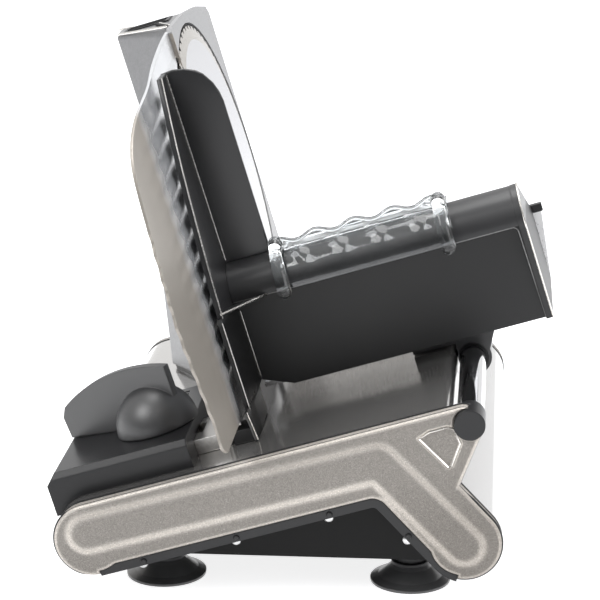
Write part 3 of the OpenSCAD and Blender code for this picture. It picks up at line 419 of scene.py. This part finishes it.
# Painted highlights: bright and dim lines laid along edges, where light catches
# them
EDGE_HIGHLIGHT = metal("painted_edge_highlight", (0.62, 0.60, 0.57), (0.78, 0.76, 0.73), 0.25,
             scale=900, edge=0)
DIM_HIGHLIGHT = metal("painted_dim_highlight", (0.16, 0.16, 0.16), (0.26, 0.26, 0.26), 0.35,
             scale=900, edge=0)

SLOT_LOOKS = {
    "polished_steel": STEEL, "champagne": CHAMPAGNE, "black_plastic": BLACK,
    "dark_plastic": DARK, "white_plastic": WHITE, "black_rubber": RUBBER,
    "steel_screw": SCREW, "chrome_rod": CHROME, "grey_paint": GREY,
    "aluminium": ALUMINIUM, "motor_steel": MOTOR, "blade_steel": BLADE,
    "tray_steel": TRAY, "clear_plastic": CLEAR,
}
# Nodes that look different from the rest of their slot
NODE_LOOKS = {
    "knob": KNOB, "carriage_body": CARRIAGE, "control_unit": UNIT,
    "tray_floor": TRAY, "base_pan": DEEP_BLACK_AND_SHADE, "guard_plate": GUARD_GREY,
    "cheek_screws": BLACK, "stop_plate": SATIN,
}


def dress_cad():
    """Give each CAD node the look of its slot or its own."""
    slots = {sub["node"]: sub["material_slot"]
             for sub in frame["record"]["subparts"]}
    for name, node in cad_nodes.items():
        look = NODE_LOOKS.get(name, SLOT_LOOKS[slots[name]])
        if not node.material_slots:
            node.data.materials.append(look)
        for slot in node.material_slots:
            slot.material = look


# Camera, lamps, world and floor
scene = bpy.context.scene
# The photograph's camera, from a fit; the focal length is in its pixels
PITCH, YAW, ROLL = (math.radians(15.73), math.radians(5.36),
                    math.radians(-0.47))
CAMERA_AT = (0.096485, -1.10837, 0.43245)
FOCAL_PX, PHOTO_PX, SENSOR = 2199.8, 600, 36
LAMP_AIM = (0, 0, 0.1)
# Strength of the world in front of the object, and behind and above it
ROOM, SKY = 0.10, 1.0


def add_camera():
    """The photograph's view, from its pitch, yaw and roll."""
    ahead = Vector((-math.sin(YAW) * math.cos(PITCH),
                    math.cos(YAW) * math.cos(PITCH), -math.sin(PITCH)))
    level = Vector((math.cos(YAW), math.sin(YAW), 0))
    above = level.cross(ahead)
    right = level * math.cos(ROLL) + above * math.sin(ROLL)
    up = above * math.cos(ROLL) - level * math.sin(ROLL)
    camera = bpy.data.objects.new("camera", bpy.data.cameras.new("camera"))
    camera.data.sensor_width = SENSOR
    camera.data.lens = FOCAL_PX / PHOTO_PX * SENSOR
    camera.data.clip_start = 0.05
    turn = Matrix((right, up, -ahead)).transposed().to_4x4()
    camera.matrix_world = Matrix.Translation(CAMERA_AT) @ turn
    scene.collection.objects.link(camera)
    scene.camera = camera


def add_lamp(name, spot, size, power):
    """A square soft box that looks at the object."""
    lamp = bpy.data.objects.new(name, bpy.data.lights.new(name, "AREA"))
    lamp.data.energy = power
    lamp.data.shape = "SQUARE"
    lamp.data.size = size
    lamp.location = spot
    aim = Vector(LAMP_AIM) - Vector(spot)
    lamp.rotation_euler = aim.to_track_quat("-Z", "Y").to_euler()
    scene.collection.objects.link(lamp)


def add_world():
    """White behind and above, where the camera or a mirror sees it."""
    world = bpy.data.worlds.new("world")
    scene.world = world
    world.use_nodes = True
    tree = Tree(world.node_tree)
    way = tree.add("ShaderNodeTexCoord").outputs["Generated"]
    way = tree.add("ShaderNodeSeparateXYZ", {0: way}).outputs
    behind = tree.span(way["Y"], -0.75, 0.05, ROOM, SKY)
    above = tree.span(way["Z"], 0.30, 0.75, ROOM, SKY)
    to_camera = tree.add("ShaderNodeLightPath").outputs["Is Camera Ray"]
    bright = tree.calc("MAXIMUM", tree.calc("MAXIMUM", behind, above), to_camera)
    white = tree.add("ShaderNodeBackground", {
        "Color": (1, 1, 1, 1), "Strength": bright})
    dim = tree.add("ShaderNodeBackground", {
        "Color": (0.93, 0.95, 1, 1), "Strength": 0.55})
    shown = tree.add("ShaderNodeMixShader", {
        0: tree.seen_ray(), 1: dim.outputs[0], 2: white.outputs[0]})
    tree.add("ShaderNodeOutputWorld", {0: shown.outputs[0]})


def add_floor():
    """Pale floor: it keeps the shadow and otherwise shows white."""
    material = bpy.data.materials.new("floor")
    material.use_nodes = True
    tree = Tree(material.node_tree)
    cloud = tree.add("ShaderNodeTexNoise", {"Scale": 3}).outputs["Fac"]
    paint = tree.add("ShaderNodeBsdfDiffuse", {
        "Color": tree.tones(cloud, (0.80, 0.80, 0.80), (0.83, 0.83, 0.83))})
    glow = tree.add("ShaderNodeEmission", {"Strength": 0.82})
    lit = tree.add("ShaderNodeAddShader", {0: paint.outputs[0],
                                           1: glow.outputs[0]})
    shown = tree.add("ShaderNodeMixShader", {
        0: tree.seen_ray(), 1: paint.outputs[0], 2: lit.outputs[0]})
    tree.add("ShaderNodeOutputMaterial", {0: shown.outputs[0]})
    grid = bmesh.new()
    bmesh.ops.create_grid(grid, x_segments=4, y_segments=4, size=6)
    mesh = bpy.data.meshes.new("floor")
    grid.to_mesh(mesh)
    grid.free()
    mesh.materials.append(material)
    floor = bpy.data.objects.new("floor", mesh)
    scene.collection.objects.link(floor)


# Shapes: each is a list of points of the tilted frame and a list of faces
def piece(name, verts, faces, look, body, slot, stands=(), sharp=32):
    """A mesh piece that rides on its body and replaces CAD nodes."""
    mesh = bpy.data.meshes.new(name)
    mesh.from_pydata([place(*v) for v in verts], [], faces)
    work = bmesh.new()
    work.from_mesh(mesh)
    bmesh.ops.remove_doubles(work, verts=work.verts, dist=1e-7)
    bmesh.ops.recalc_face_normals(work, faces=work.faces)
    work.to_mesh(mesh)
    work.free()
    for face in mesh.polygons:
        face.use_smooth = True
    mesh.set_sharp_from_angle(angle=math.radians(sharp))
    mesh.materials.append(look)
    made = bpy.data.objects.new(name, mesh)
    scene.collection.objects.link(made)
    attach(made, body)
    for node in stands:
        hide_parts(node)


def merge(shapes):
    """One shape out of several."""
    verts, faces = [], []
    for v, f in shapes:
        n = len(verts)
        verts += v
        faces += [tuple(i + n for i in face) for face in f]
    return verts, faces


def lay(axis, p, q, depth):
    """Put outline point (p, q) at a depth along an axis of the frame."""
    return {"u": (depth, p, q), "y": (p, depth, q), "w": (p, q, depth)}[axis]


def grid_faces(rows, n, loop=True, ring=False):
    """Quads between rows of n points; loop closes a row, ring the rows."""
    faces = []
    for j in range(rows if ring else rows - 1):
        rise = ((j + 1) % rows - j) * n
        for i in range(n if loop else n - 1):
            a, b = j * n + i, j * n + (i + 1) % n
            faces.append((a, b, b + rise, a + rise))
    return faces


def closed_sheet(front, back, faces, borders):
    """A sheet from its front and back points, walled along its borders."""
    n = len(front)
    walls = [(ids[i - 1], ids[i], ids[i] + n, ids[i - 1] + n)
             for ids in borders for i in range(len(ids))]
    return front + back, (list(faces) + walls
                          + [tuple(i + n for i in face) for face in faces])


def sides_of(loop):
    """Line pieces of a closed outline, each as two points."""
    return list(zip(loop, loop[1:] + loop[:1]))


def area(loop):
    """Area of an outline, positive where it runs anticlockwise."""
    p = np.array(loop)
    q = np.roll(p, -1, 0)
    return float(np.sum(p[:, 0] * q[:, 1] - q[:, 0] * p[:, 1])) / 2


def inset(loop, distance):
    """An outline moved inwards, loop running anticlockwise."""
    points = np.array(loop)
    way = np.roll(points, -1, 0) - points
    way /= np.linalg.norm(way, axis=1)[:, None] + 1e-12
    inward = np.stack([-way[:, 1], way[:, 0]], 1)
    both = inward + np.roll(inward, 1, 0)
    # The second value keeps sharp corners from running away
    share = np.maximum(np.sum(both * both, 1) / 2, 0.45)
    return points + both / share[:, None] * distance


def slab(loop, axis, start, end, r=0.5, steps=3):
    """A plate from an outline, with round edges of radius r."""
    loop = [tuple(p) for p in loop]
    if area(loop) < 0:
        loop = loop[::-1]
    rings = []
    for k in range(steps + 1):
        turn = math.pi / 2 * k / steps
        rings.append((inset(loop, r * (1 - math.sin(turn))),
                      start + r * (1 - math.cos(turn))))
    rings += [(ring, end - (d - start)) for ring, d in reversed(rings)]
    verts = [lay(axis, *p, d) for ring, d in rings for p in ring]
    n, top = len(loop), (len(rings) - 1) * len(loop)
    faces = grid_faces(len(rings), n)
    return verts, faces + [tuple(range(n))[::-1], tuple(range(top, top + n))]


def tube(points, r, sides=10, closed=False):
    """A round bar along points, with pointed ends; r may be a list."""
    line = [Vector(p) for p in points]
    n = len(line)
    radii = r if isinstance(r, (list, tuple)) else [r] * n
    verts = []
    side = None
    for i, p in enumerate(line):
        before = line[(i - 1) % n] if closed or i else p
        after = line[(i + 1) % n] if closed or i < n - 1 else p
        way = (after - before).normalized()
        if side is None:
            side = way.orthogonal().normalized()
        side = (side - way * side.dot(way)).normalized()
        other = way.cross(side)
        for k in range(sides):
            turn = 2 * math.pi * k / sides
            off = side * math.cos(turn) + other * math.sin(turn)
            verts.append(tuple(p + off * radii[i]))
    faces = grid_faces(n, sides, ring=closed)
    if not closed:
        for i, near in ((0, 1), (n - 1, n - 2)):
            way = (line[i] - line[near]).normalized()
            tip = len(verts)
            verts.append(tuple(line[i] + way * radii[i] * 0.6))
            faces += [(i * sides + k, i * sides + (k + 1) % sides, tip)
                      for k in range(sides)]
    return verts, faces


def highlight_line(name, points, r, look=EDGE_HIGHLIGHT, slot="aluminium"):
    """A thin painted highlight line along an edge of the carriage."""
    piece(name, *tube(points, r, 8), look, "carriage", slot)


def flat_loops(node, axis, depth, tol=0.03):
    """Outlines of a CAD node's flat face at a depth, the largest first."""
    work = bmesh.new()
    work.from_mesh(cad_nodes[node].data)
    bmesh.ops.remove_doubles(work, verts=work.verts, dist=2e-6)
    k = "uyw".index(axis)
    spots = {v: unplace(v.co) for v in work.verts}
    flat = [face for face in work.faces
            if all(abs(spots[v][k] - depth) < tol for v in face.verts)]
    chosen = set(flat)
    after = {}
    for face in flat:
        for corner in face.loops:
            if len([f for f in corner.edge.link_faces if f in chosen]) == 1:
                after[corner.vert] = corner.link_loop_next.vert
    loops = []
    while after:
        start, vert = after.popitem()
        loop = [start]
        while vert in after:
            loop.append(vert)
            vert = after.pop(vert)
        loops.append([spots[v][:k] + spots[v][k + 1:] for v in loop])
    work.free()
    return sorted(loops, key=lambda loop: -abs(area(loop)))


def refine(loop, step):
    """An outline with points added, so that no gap is wider than a step."""
    out = []
    for p, q in sides_of(loop):
        n = max(1, math.ceil(math.dist(p, q) / step))
        out += [tuple(np.array(p) + (np.array(q) - p) * i / n)
                for i in range(n)]
    return out


def to_lines(points, lines):
    """Distance of each point to a set of line pieces."""
    best = np.full(len(points), 1e9)
    for start, end in lines:
        start = np.array(start, float)
        way = np.array(end, float) - start
        t = np.clip((points - start) @ way / max(way @ way, 1e-12), 0, 1)
        off = points - start - t[:, None] * way
        best = np.minimum(best, np.linalg.norm(off, axis=1))
    return best


def inside(points, loop):
    """True for each point that lies within an outline."""
    found = np.zeros(len(points), bool)
    x, y = points[:, 0], points[:, 1]
    for (x1, y1), (x2, y2) in sides_of(loop):
        if y1 != y2:
            spans = (y1 > y) != (y2 > y)
            found ^= spans & (x < (x2 - x1) * (y - y1) / (y2 - y1) + x1)
    return found


def ease(t):
    """A smooth step from 0 to 1."""
    t = np.clip(t, 0, 1)
    return t * t * (3 - 2 * t)


def sheet_mesh(loops, step, rings, more=()):
    """Triangles of an outline with holes, finer along its edge.

    Gives the points, the faces, each point's distance to the edge, the
    outline and the holes. rings are distances from the edge that get a row
    of points of their own, and more are points to add."""
    outer = refine(loops[0] if area(loops[0]) > 0 else loops[0][::-1], step)
    holes = [refine(hole, step) for hole in loops[1:]]
    lines = sides_of(outer)
    hole_lines = [line for hole in holes for line in sides_of(hole)]
    inner = []
    for d in rings:
        row = inset(outer, d)
        inner += [tuple(p) for p, far in zip(row, to_lines(row, lines))
                  if far > d * 0.93]
    low, high = np.min(outer, 0), np.max(outer, 0)
    grid = np.array([(x, y) for x in np.arange(low[0], high[0], step)
                     for y in np.arange(low[1], high[1], step)])
    if len(more):
        grid = np.vstack([grid, np.array(more)])
    keep = inside(grid, outer) & (to_lines(grid, lines) > max(rings)
                                  + step * 0.4)
    if hole_lines:
        keep &= to_lines(grid, hole_lines) > step * 0.5
        for hole in holes:
            keep &= ~inside(grid, hole)
    inner += [tuple(p) for p in grid[keep]]
    border, edges = [], []
    for loop in [outer] + holes:
        n = len(loop)
        edges += [(len(border) + i, len(border) + (i + 1) % n)
                  for i in range(n)]
        border += loop
    points, _, faces, *_ = delaunay_2d_cdt(
        [Vector(p) for p in border + inner], edges, [], 0, 1e-5)
    points = np.array([tuple(p) for p in points])
    middles = np.array([points[list(face)].mean(0) for face in faces])
    good = inside(middles, outer)
    for hole in holes:
        good &= ~inside(middles, hole)
    faces = [tuple(face) for face, ok in zip(faces, good) if ok]
    return points, faces, to_lines(points, lines), outer, holes


def outline_ids(points, loop):
    """Places of an outline's points in a list of points."""
    at = {(round(x, 4), round(y, 4)): i for i, (x, y) in enumerate(points)}
    found = [at.get((round(x, 4), round(y, 4))) for x, y in loop]
    return [i for i in found if i is not None]


def smooth_curve(points, n):
    """The source's smooth curve through control points."""
    out = []
    p = np.array(points, float)
    last = len(p) - 1
    for i in range(last):
        a, b, c, d = p[max(0, i - 1)], p[i], p[i + 1], p[min(last, i + 2)]
        for j in range(n):
            t = j / n
            out.append(0.5 * ((2 * b) + (c - a) * t
                              + (2 * a - 5 * b + 4 * c - d) * t * t
                              + (3 * b - a - 3 * c + d) * t ** 3))
    return [tuple(q) for q in out] + [tuple(p[-1])]


# Covers of the cheeks: rounded rim, pressed field and three-sided recess
FIELD = [((0, 2.9), (147.2, 1.2)), ((147.2, 1.2), (175.0, -50.0))]
FIELD_IN, FIELD_OUT, FIELD_H = 6.0, 11.8, 0.95
EAR = [(168.6, 7.9), (178.4, -9.9), (180.4, -9.6), (187.6, 0.4), (186.6, 8.6),
       (183.4, 10.1), (174.6, 10.1)]
EAR_WALL, EAR_H = 1.9, 0.8
RIM, BORDER_Y = 1.5, 0.95
COVER_STEP, EAR_STEP = 1.35, 0.55


def cover_depth(points, edge):
    """Depth of the cover's face behind its highest plane."""
    field = ease((FIELD_OUT - to_lines(points, FIELD)) / (FIELD_OUT - FIELD_IN))
    ear = to_lines(points, sides_of(EAR))
    ear = np.where(inside(points, EAR), -ear, ear)
    rim = np.clip(RIM - edge, 0, RIM)
    return (BORDER_Y - FIELD_H * field + EAR_H * ease(0.5 - ear / EAR_WALL)
            + RIM - np.sqrt(RIM * RIM - rim * rim))


def cover_skins():
    """Both covers; gives their outline, for the gaskets."""
    near_ear = [(u, w) for u in np.arange(165, 191, EAR_STEP)
                for w in np.arange(-13, 13, EAR_STEP)]
    points, faces, edge, outline, holes = sheet_mesh(
        flat_loops("front_cover", "y", COVER_T), COVER_STEP,
        [0.12, 0.4, 0.8, RIM], near_ear)
    depth = cover_depth(points, edge)
    borders = [outline_ids(points, loop) for loop in [outline] + holes]
    for name, zero, way in (("front_cover", 0, 1), ("rear_cover", BASE_D, -1)):
        front = [(u, zero + way * d, w) for (u, w), d in zip(points, depth)]
        back = [(u, zero + way * COVER_T, w) for u, w in points]
        piece(name + "_skin", *closed_sheet(front, back, faces, borders),
              CHAMPAGNE, "base", "champagne", (name,), sharp=50)
    return outline


# Stop plate: its ribs rise behind a plain strip and slope a little backwards
RIB_H, RIB_PITCH, RIB_COUNT, RIB_SLOPE = 0.9, 11.3, 11.6, 0.0998
RIB_Y, RIB_W = 30, 54
PLATE_STEP, PLATE_ROUND = 1.5, 0.5
WAVE_DEPTH, WAVE_Y1, WAVE_W0, WAVE_W1 = 0.9, 45, 40, 150


def rib_height(points):
    """Height of the ribs above the plate's front face."""
    y, w = points[:, 0], points[:, 1]
    line = w - RIB_W - RIB_SLOPE * (y - RIB_Y)
    crest = 0.5 + 0.5 * np.cos(2 * math.pi * line / RIB_PITCH)
    # A rib rises in two stages, and higher ribs start further forward
    start = 3.0 - 0.55 * line / RIB_PITCH
    rise = 0.35 * ease((y - start) / 10) + 0.65 * ease((y - start - 20) / 14)
    ends = ease((line + 7) / 5) * ease((RIB_COUNT * RIB_PITCH - line) / 5)
    return RIB_H * crest * rise * ends


def stop_plate_skin():
    """Ribbed plate, its ribs running out in a gently waved front edge."""
    points, faces, edge, outline, _ = sheet_mesh(
        flat_loops("stop_plate", "u", STOP_U - STOP_T)[:1], PLATE_STEP,
        [0.2, 0.7])
    border = outline_ids(points, outline)
    near = np.clip(PLATE_ROUND - edge, 0, PLATE_ROUND)
    fall = PLATE_ROUND - np.sqrt(PLATE_ROUND ** 2 - near ** 2)
    height = STOP_U + rib_height(points) - fall
    y, w = points.T.copy()
    points[:, 0] += (WAVE_DEPTH * np.sin(2 * math.pi * w / RIB_PITCH)
                     * ease((WAVE_Y1 - y) / 25) * ease((WAVE_W1 - w) / 12)
                     * ease((w - WAVE_W0) / 12))
    front = [(u, y, w) for (y, w), u in zip(points, height)]
    back = [(STOP_U - STOP_T, y, w) for y, w in points]
    piece("stop_plate_skin", *closed_sheet(front, back, faces, [border]),
          SATIN, "stop_body", "champagne", ("stop_plate",), sharp=50)


def hand_guard_skin():
    """Wing and face of the hand guard, with round edges."""
    wing = flat_loops("hand_guard", "u", SIDE_U)[0]
    # The face's outer corner is a long soft bend
    corner = [(0, 20.8), (0.7, 15.9), (2.4, 10.8), (6, 5.1), (9.1, 2.5),
              (14.4, 0.2)]
    face = [(SIDE_U, 60), (HAND_U1, 60)]
    face += [(HAND_U1 - du, HAND_TOP - dw) for du, dw in corner]
    face += [(SIDE_U + 6, HAND_TOP + 0.9), (SIDE_U, HAND_TOP + 0.3)]
    piece("hand_guard_skin",
          *merge([slab(wing, "u", SIDE_U, WING_U1, 0.5),
                  slab(face, "y", WALL_Y1, HAND_Y1, 0.7)]),
          DARK, "carriage", "dark_plastic", ("hand_guard",))


def side_edges():
    """Painted highlight lines along the edges of the wing and of the side plate
    below it.
    """
    foot_w = SEAM_W0 - (SEAM_W0 - SEAM_W1) * 3 / (WALL_Y0 - SIDE_Y0)
    front = smooth_curve([(38, foot_w), (42.6, 110), (55, HAND_TOP - 41),
                          (74.4, HAND_TOP)], 10)
    highlight_line("guard_edge_front",
              [(WING_U1 - 0.1, y + 0.25, w) for y, w in front], 0.33)
    for name, u, y, low, high, n, r in (
            ("guard_edge_joint", WING_U1 + 0.1, WALL_Y1 - 0.15,
             97, HAND_TOP - 1, 24, 0.26),
            ("plate_edge_front", SIDE_U + 2.3, SIDE_Y0 + 0.15,
             33, SEAM_W0 - 2, 16, 0.28),
            ("plate_edge_joint", SIDE_U + 2.6, WALL_Y0 - 0.1,
             34, SEAM_W1 - 2, 16, 0.22)):
        highlight_line(name, [(u, y, w) for w in np.linspace(low, high, n)], r)


def wing_web():
    """Web between the foot of the wing and the band, with a painted highlight line
    along its edge.
    """
    thick, band_y = 1.2, WALL_Y1 - BAND_R
    start = (WING_U1 + 0.2, SIDE_Y0 + 0.4, 83.0)
    end = (107.5, band_y, 78.6)
    top = [start, end, (107.0, band_y + 1.6, 78.4),
           (WING_U1 - 0.2, band_y + 1, 77.4)]
    low = [(u, y, w - thick) for u, y, w in top]
    piece("wing_web", *closed_sheet(top, low, [(0, 1, 2, 3)], [range(4)]),
          DARK, "carriage", "dark_plastic", sharp=20)
    start, end = np.array(start), np.array(end)
    highlight_line("web_edge", [tuple(start * (1 - t) + end * t - (0, 0.1, 0.2))
                           for t in np.linspace(0, 1, 14)], 0.62)


def skid_plate():
    """Guide plate beside the skid, with a painted highlight line along its edge."""
    outer_u, front_y, back_y, low, high = 89.0, 25.5, 76.0, 18.0, 34.3
    outline = [(front_y, high), (31.5, low), (back_y, low), (back_y, high)]
    piece("skid_plate", *slab(refine(outline, 6), "u", 87.2, outer_u, 0.35, 2),
          DARK, "carriage", "dark_plastic")
    highlight_line("skid_edge",
              [(outer_u, 60 - 34.4 * t, high + 0.05) for t in np.linspace(0, 1, 10)]
              + [(outer_u, 25.6 + 5.9 * t, high - 16 * t)
                 for t in np.linspace(0.05, 1, 6)], 0.24)


def band_edges():
    """Painted highlight lines on the rim of the band, the frame line of the wall
    and the edge of the end plate.
    """
    front_y, rim_u, rim_w = WALL_Y1 - BAND_R + 0.25, END_U0 - 3.4, BAND_W - 0.1
    highlight_line("band_rim", [(u, front_y, rim_w)
                           for u in np.linspace(WING_U1 + 1, rim_u, 40)],
              0.34, DIM_HIGHLIGHT, "dark_plastic")
    bend = 2.6
    corner = [(rim_u + bend * math.sin(turn), front_y,
               rim_w - bend + bend * math.cos(turn))
              for turn in np.linspace(0, math.pi / 2, 7)]
    low = [(END_U0 - 0.8 + 0.8 * t, front_y + 12.2 * t, rim_w - bend - 49.4 * t)
           for t in np.linspace(0.04, 1, 20)]
    highlight_line("wall_frame", corner + low, 0.30, DIM_HIGHLIGHT, "dark_plastic")
    end_u, end_r = END_U1 - 0.1, BAND_R + 0.3
    line = [(end_u, WALL_Y0 - 2.6 - 12.3 * t,
             TRAY_W - 1.4 + (BAND_W - TRAY_W + 0.4) * t)
            for t in np.linspace(0, 0.97, 20)]
    arc = [(end_u, WALL_Y1 - end_r * math.cos(turn),
            BAND_W + end_r * math.sin(turn))
           for turn in np.linspace(0, math.pi / 2, 14)]
    highlight_line("end_plate_rim", line + arc, 0.5)


# Clear food holder: rippled saddle over the band with a beaded wavy crest
SADDLE_R0 = BAND_R + HOLD_GAP
SADDLE_R1 = SADDLE_R0 + HOLD_T
CREST = BAND_W + SADDLE_R1
WAVE_PITCH, WAVE_H = 20.0, 1.4
RIPPLE_H, RIPPLE_TWIST = 0.75, 0.62


def crest_wave(u):
    turn = 2 * math.pi * (u - HOLD_U0) / WAVE_PITCH
    return CREST + 3 + WAVE_H * math.sin(turn)


def ripple(u, turn):
    """Height of the lens-shaped ripples on the saddle's outer side."""
    phase = (u - HOLD_U0) / WAVE_PITCH + RIPPLE_TWIST * math.sin(turn)
    lens = max(0.0, math.sin(2 * math.pi * phase)) ** 1.5
    foot = math.sin(min(1, turn / 0.5) * math.pi / 2)
    belly = math.sin(math.pi * min(max((turn - 0.15) / 1.3, 0), 1))
    return RIPPLE_H * lens * foot * belly


def saddle_skin():
    """Quarter shell on the band, with the fin of its crest."""
    rows, across = 116, 22

    def on_band(radius, u, turn):
        return (u, WALL_Y1 - radius * math.cos(turn),
                BAND_W + radius * math.sin(turn))

    spots = [(HOLD_U0 + HOLD_L * i / rows, math.pi / 2 * j / across)
             for i in range(rows + 1) for j in range(across + 1)]
    outer = [on_band(SADDLE_R1 + ripple(u, turn), u, turn)
             for u, turn in spots]
    inner = [on_band(SADDLE_R0, u, turn) for u, turn in spots]
    n = across + 1
    border = ([i * n for i in range(rows)]
              + [rows * n + j for j in range(across)]
              + [i * n + across for i in range(rows, 0, -1)]
              + list(range(across, 0, -1)))
    shell = closed_sheet(outer, inner, grid_faces(rows + 1, n, loop=False),
                         [border])
    # The crest's fin stands between the posts, with a bead along its top
    fin_u0 = HOLD_U0 + 2 * POST_R + 0.8
    fin_u1 = HOLD_U0 + HOLD_L - 2 * POST_R - 0.8
    fin_y0, fin_y1, fin_foot = WALL_Y1 - 7.6, WALL_Y1 - 6.2, CREST - 2.4
    fin = ([(fin_u0, fin_foot)]
           + [(u, crest_wave(u)) for u in np.linspace(fin_u0, fin_u1, 80)]
           + [(fin_u1, fin_foot)])
    bead = [(u, (fin_y0 + fin_y1) / 2, crest_wave(u) - 0.2)
            for u in np.linspace(fin_u0 - 2.0, fin_u1 + 2.0, 90)]
    piece("saddle_skin", *merge([shell, slab(fin, "y", fin_y0, fin_y1, 0.3, 2),
                                 tube(bead, 1.15, 12)]),
          CLEAR, "holder", "clear_plastic", ("holder_saddle",))


def pan_domes():
    """Screw domes on the pan, half behind the lip of each cheek."""
    profile = ((2.6, 0.0), (2.55, 0.5), (2.2, 1.0), (1.5, 1.45), (0.7, 1.65))
    sides = 20
    turns = [2 * math.pi * k / sides for k in range(sides)]
    last = (len(profile) - 1) * sides
    domes = []
    for u, w in ((18.6, -23.0), (66.7, -23.4), (114.0, -23.6), (147.6, -44.6)):
        for y, way in ((CHEEK_T + 0.1, -1), (BASE_D - CHEEK_T - 0.1, 1)):
            verts = [(u + r * math.cos(turn), y + way * h,
                      w + r * math.sin(turn))
                     for r, h in profile for turn in turns]
            faces = grid_faces(len(profile), sides)
            faces += [tuple(range(sides))[::-1],
                      tuple(range(last, last + sides))]
            domes.append((verts, faces))
    piece("pan_domes", *merge(domes), SCREW, "base", "steel_screw")


def gaskets(outline):
    """Black gasket line round each cover, behind its rim."""
    depth, thin, more = 2.9, 0.26, 0.55
    left_u, low_w, fade = -4, -24, 6
    ring = inset(outline, 0.06)
    # Thicker at the front round its two ends, where nothing passes it
    ends = [float(ease(max(left_u - u, low_w - w) / fade)) for u, w in ring]
    for name, y, extra in (("front_gasket", depth, more),
                           ("rear_gasket", BASE_D - depth, 0.0)):
        thick = [thin + extra * end for end in ends]
        piece(name, *tube([(u, y, w) for u, w in ring], thick, 6, closed=True),
              BLACK, "base", "black_plastic")


def guard_front():
    """Bare front edge of the guard plate, with its black stop at the wing."""
    face_u = BLADE_U - 0.7
    trim = [(83.0, 188.6), (face_u + 0.25, 188.6), (face_u + 0.25, 206.6),
            (83.6, 207.2)]
    stop = [(83.4, 185.6), (face_u + 0.3, 185.6), (face_u + 0.3, 188.4),
            (83.4, 188.4)]
    for name, outline, proud, look, slot in (
            ("guard_trim", trim, 0.5, TRIM, "aluminium"),
            ("guard_stop", stop, 0.6, BLACK, "black_plastic")):
        piece(name, *slab(outline, "y", GUARD_Y0 - proud, GUARD_Y0 + 0.4,
                          0.2, 2), look, "base", slot)


def gap_ring():
    """Painted shade: a black ring behind the teeth, for the shaded gap between them
    and the opening of the guard.
    """
    sides, back_u, thick = 160, BLADE_U - 2.6, 0.4
    inner, outer = BLADE_R - 2.5, BLADE_R + 1.7
    section = ((inner, back_u), (outer, back_u), (outer, back_u + thick),
               (inner, back_u + thick))
    verts = []
    for i in range(sides):
        turn = 2 * math.pi * i / sides
        verts += [(u, BLADE_Y + r * math.cos(turn), BLADE_W + r * math.sin(turn))
                  for r, u in section]
    piece("gap_ring", verts, grid_faces(sides, len(section), ring=True),
          DEEP_BLACK_AND_SHADE, "base", "black_plastic")


def housing_top():
    """Painted highlight lines on the rims, and the dark seam, in the top of the
    housing.
    """
    for name, ends, lift, r, look, slot in (
            ("top_rim_side", [(74.6, 189.6), (82.9, 167.2)],
             0.05, 0.7, EDGE_HIGHLIGHT, "aluminium"),
            ("top_rim_back", [(47.0, 215.8), (56.2, 208.2)],
             0.05, 0.7, EDGE_HIGHLIGHT, "aluminium"),
            ("top_rim_front", [(50.2, 193.2), (82.6, 162.2)],
             0.05, 0.7, EDGE_HIGHLIGHT, "aluminium"),
            ("top_slot_front", [(72.8, 188.8), (81.9, 166.4)],
             0.02, 0.9, DEEP_BLACK_AND_SHADE, "black_plastic")):
        piece(name, *tube([(u, y, HOUSE_TOP + lift) for u, y in ends], r, 8),
              look, "base", slot)


def ear_lips():
    """Painted highlight lines on the lips of the three-sided recess in the ear of
    each cover.
    """
    lip, depth = inset(EAR, 0.35), BORDER_Y + 0.05
    for name, y in (("front_ear_lip", depth),
                    ("rear_ear_lip", BASE_D - depth)):
        piece(name, *tube([(u, y, w) for u, w in lip], 0.42, 6, closed=True),
              EDGE_HIGHLIGHT, "base", "champagne")


def tooth_grooves():
    """Grooves between the teeth of the blade, laid on its bevel and painted black
    as shade.
    """
    proud, sunk = 0.06, 0.4
    # Radius and half width of a groove, from its mouth to its root
    section = ((84.7, 1.3), (83.9, 0.8), (83.1, 0.25))
    grooves = []
    for i in range(TEETH):
        verts, faces = [], []
        for r, half in section:
            on_bevel = (BLADE_R - r) / BEVEL_L * (BLADE_T - TIP_T)
            u = BLADE_U - BLADE_T + TIP_T + on_bevel + proud
            for side, depth in ((-1, 0), (1, 0), (1, sunk), (-1, sunk)):
                turn = 2 * math.pi * i / TEETH + side * half / r
                verts.append((u - depth, BLADE_Y + r * math.cos(turn),
                              BLADE_W + r * math.sin(turn)))
        faces = grid_faces(len(section), 4)
        grooves.append((verts, faces + [(3, 2, 1, 0), (8, 9, 10, 11)]))
    piece("tooth_grooves", *merge(grooves), DEEP_BLACK_AND_SHADE, "blade_body", "blade_steel")


dress_cad()
scene.view_settings.view_transform = "Standard"
add_camera()
add_lamp("key", (-1.1, -0.9, 1.3), 0.8, 14)
add_lamp("fill", (1.5, -0.5, 0.9), 0.8, 7)
add_lamp("top", (0.1, 0.3, 1.6), 1.2, 22)
add_world()
add_floor()
cover_outline = cover_skins()
stop_plate_skin()
hand_guard_skin()
side_edges()
wing_web()
skid_plate()
band_edges()
saddle_skin()
pan_domes()
gaskets(cover_outline)
guard_front()
gap_ring()
housing_top()
ear_lips()
tooth_grooves()
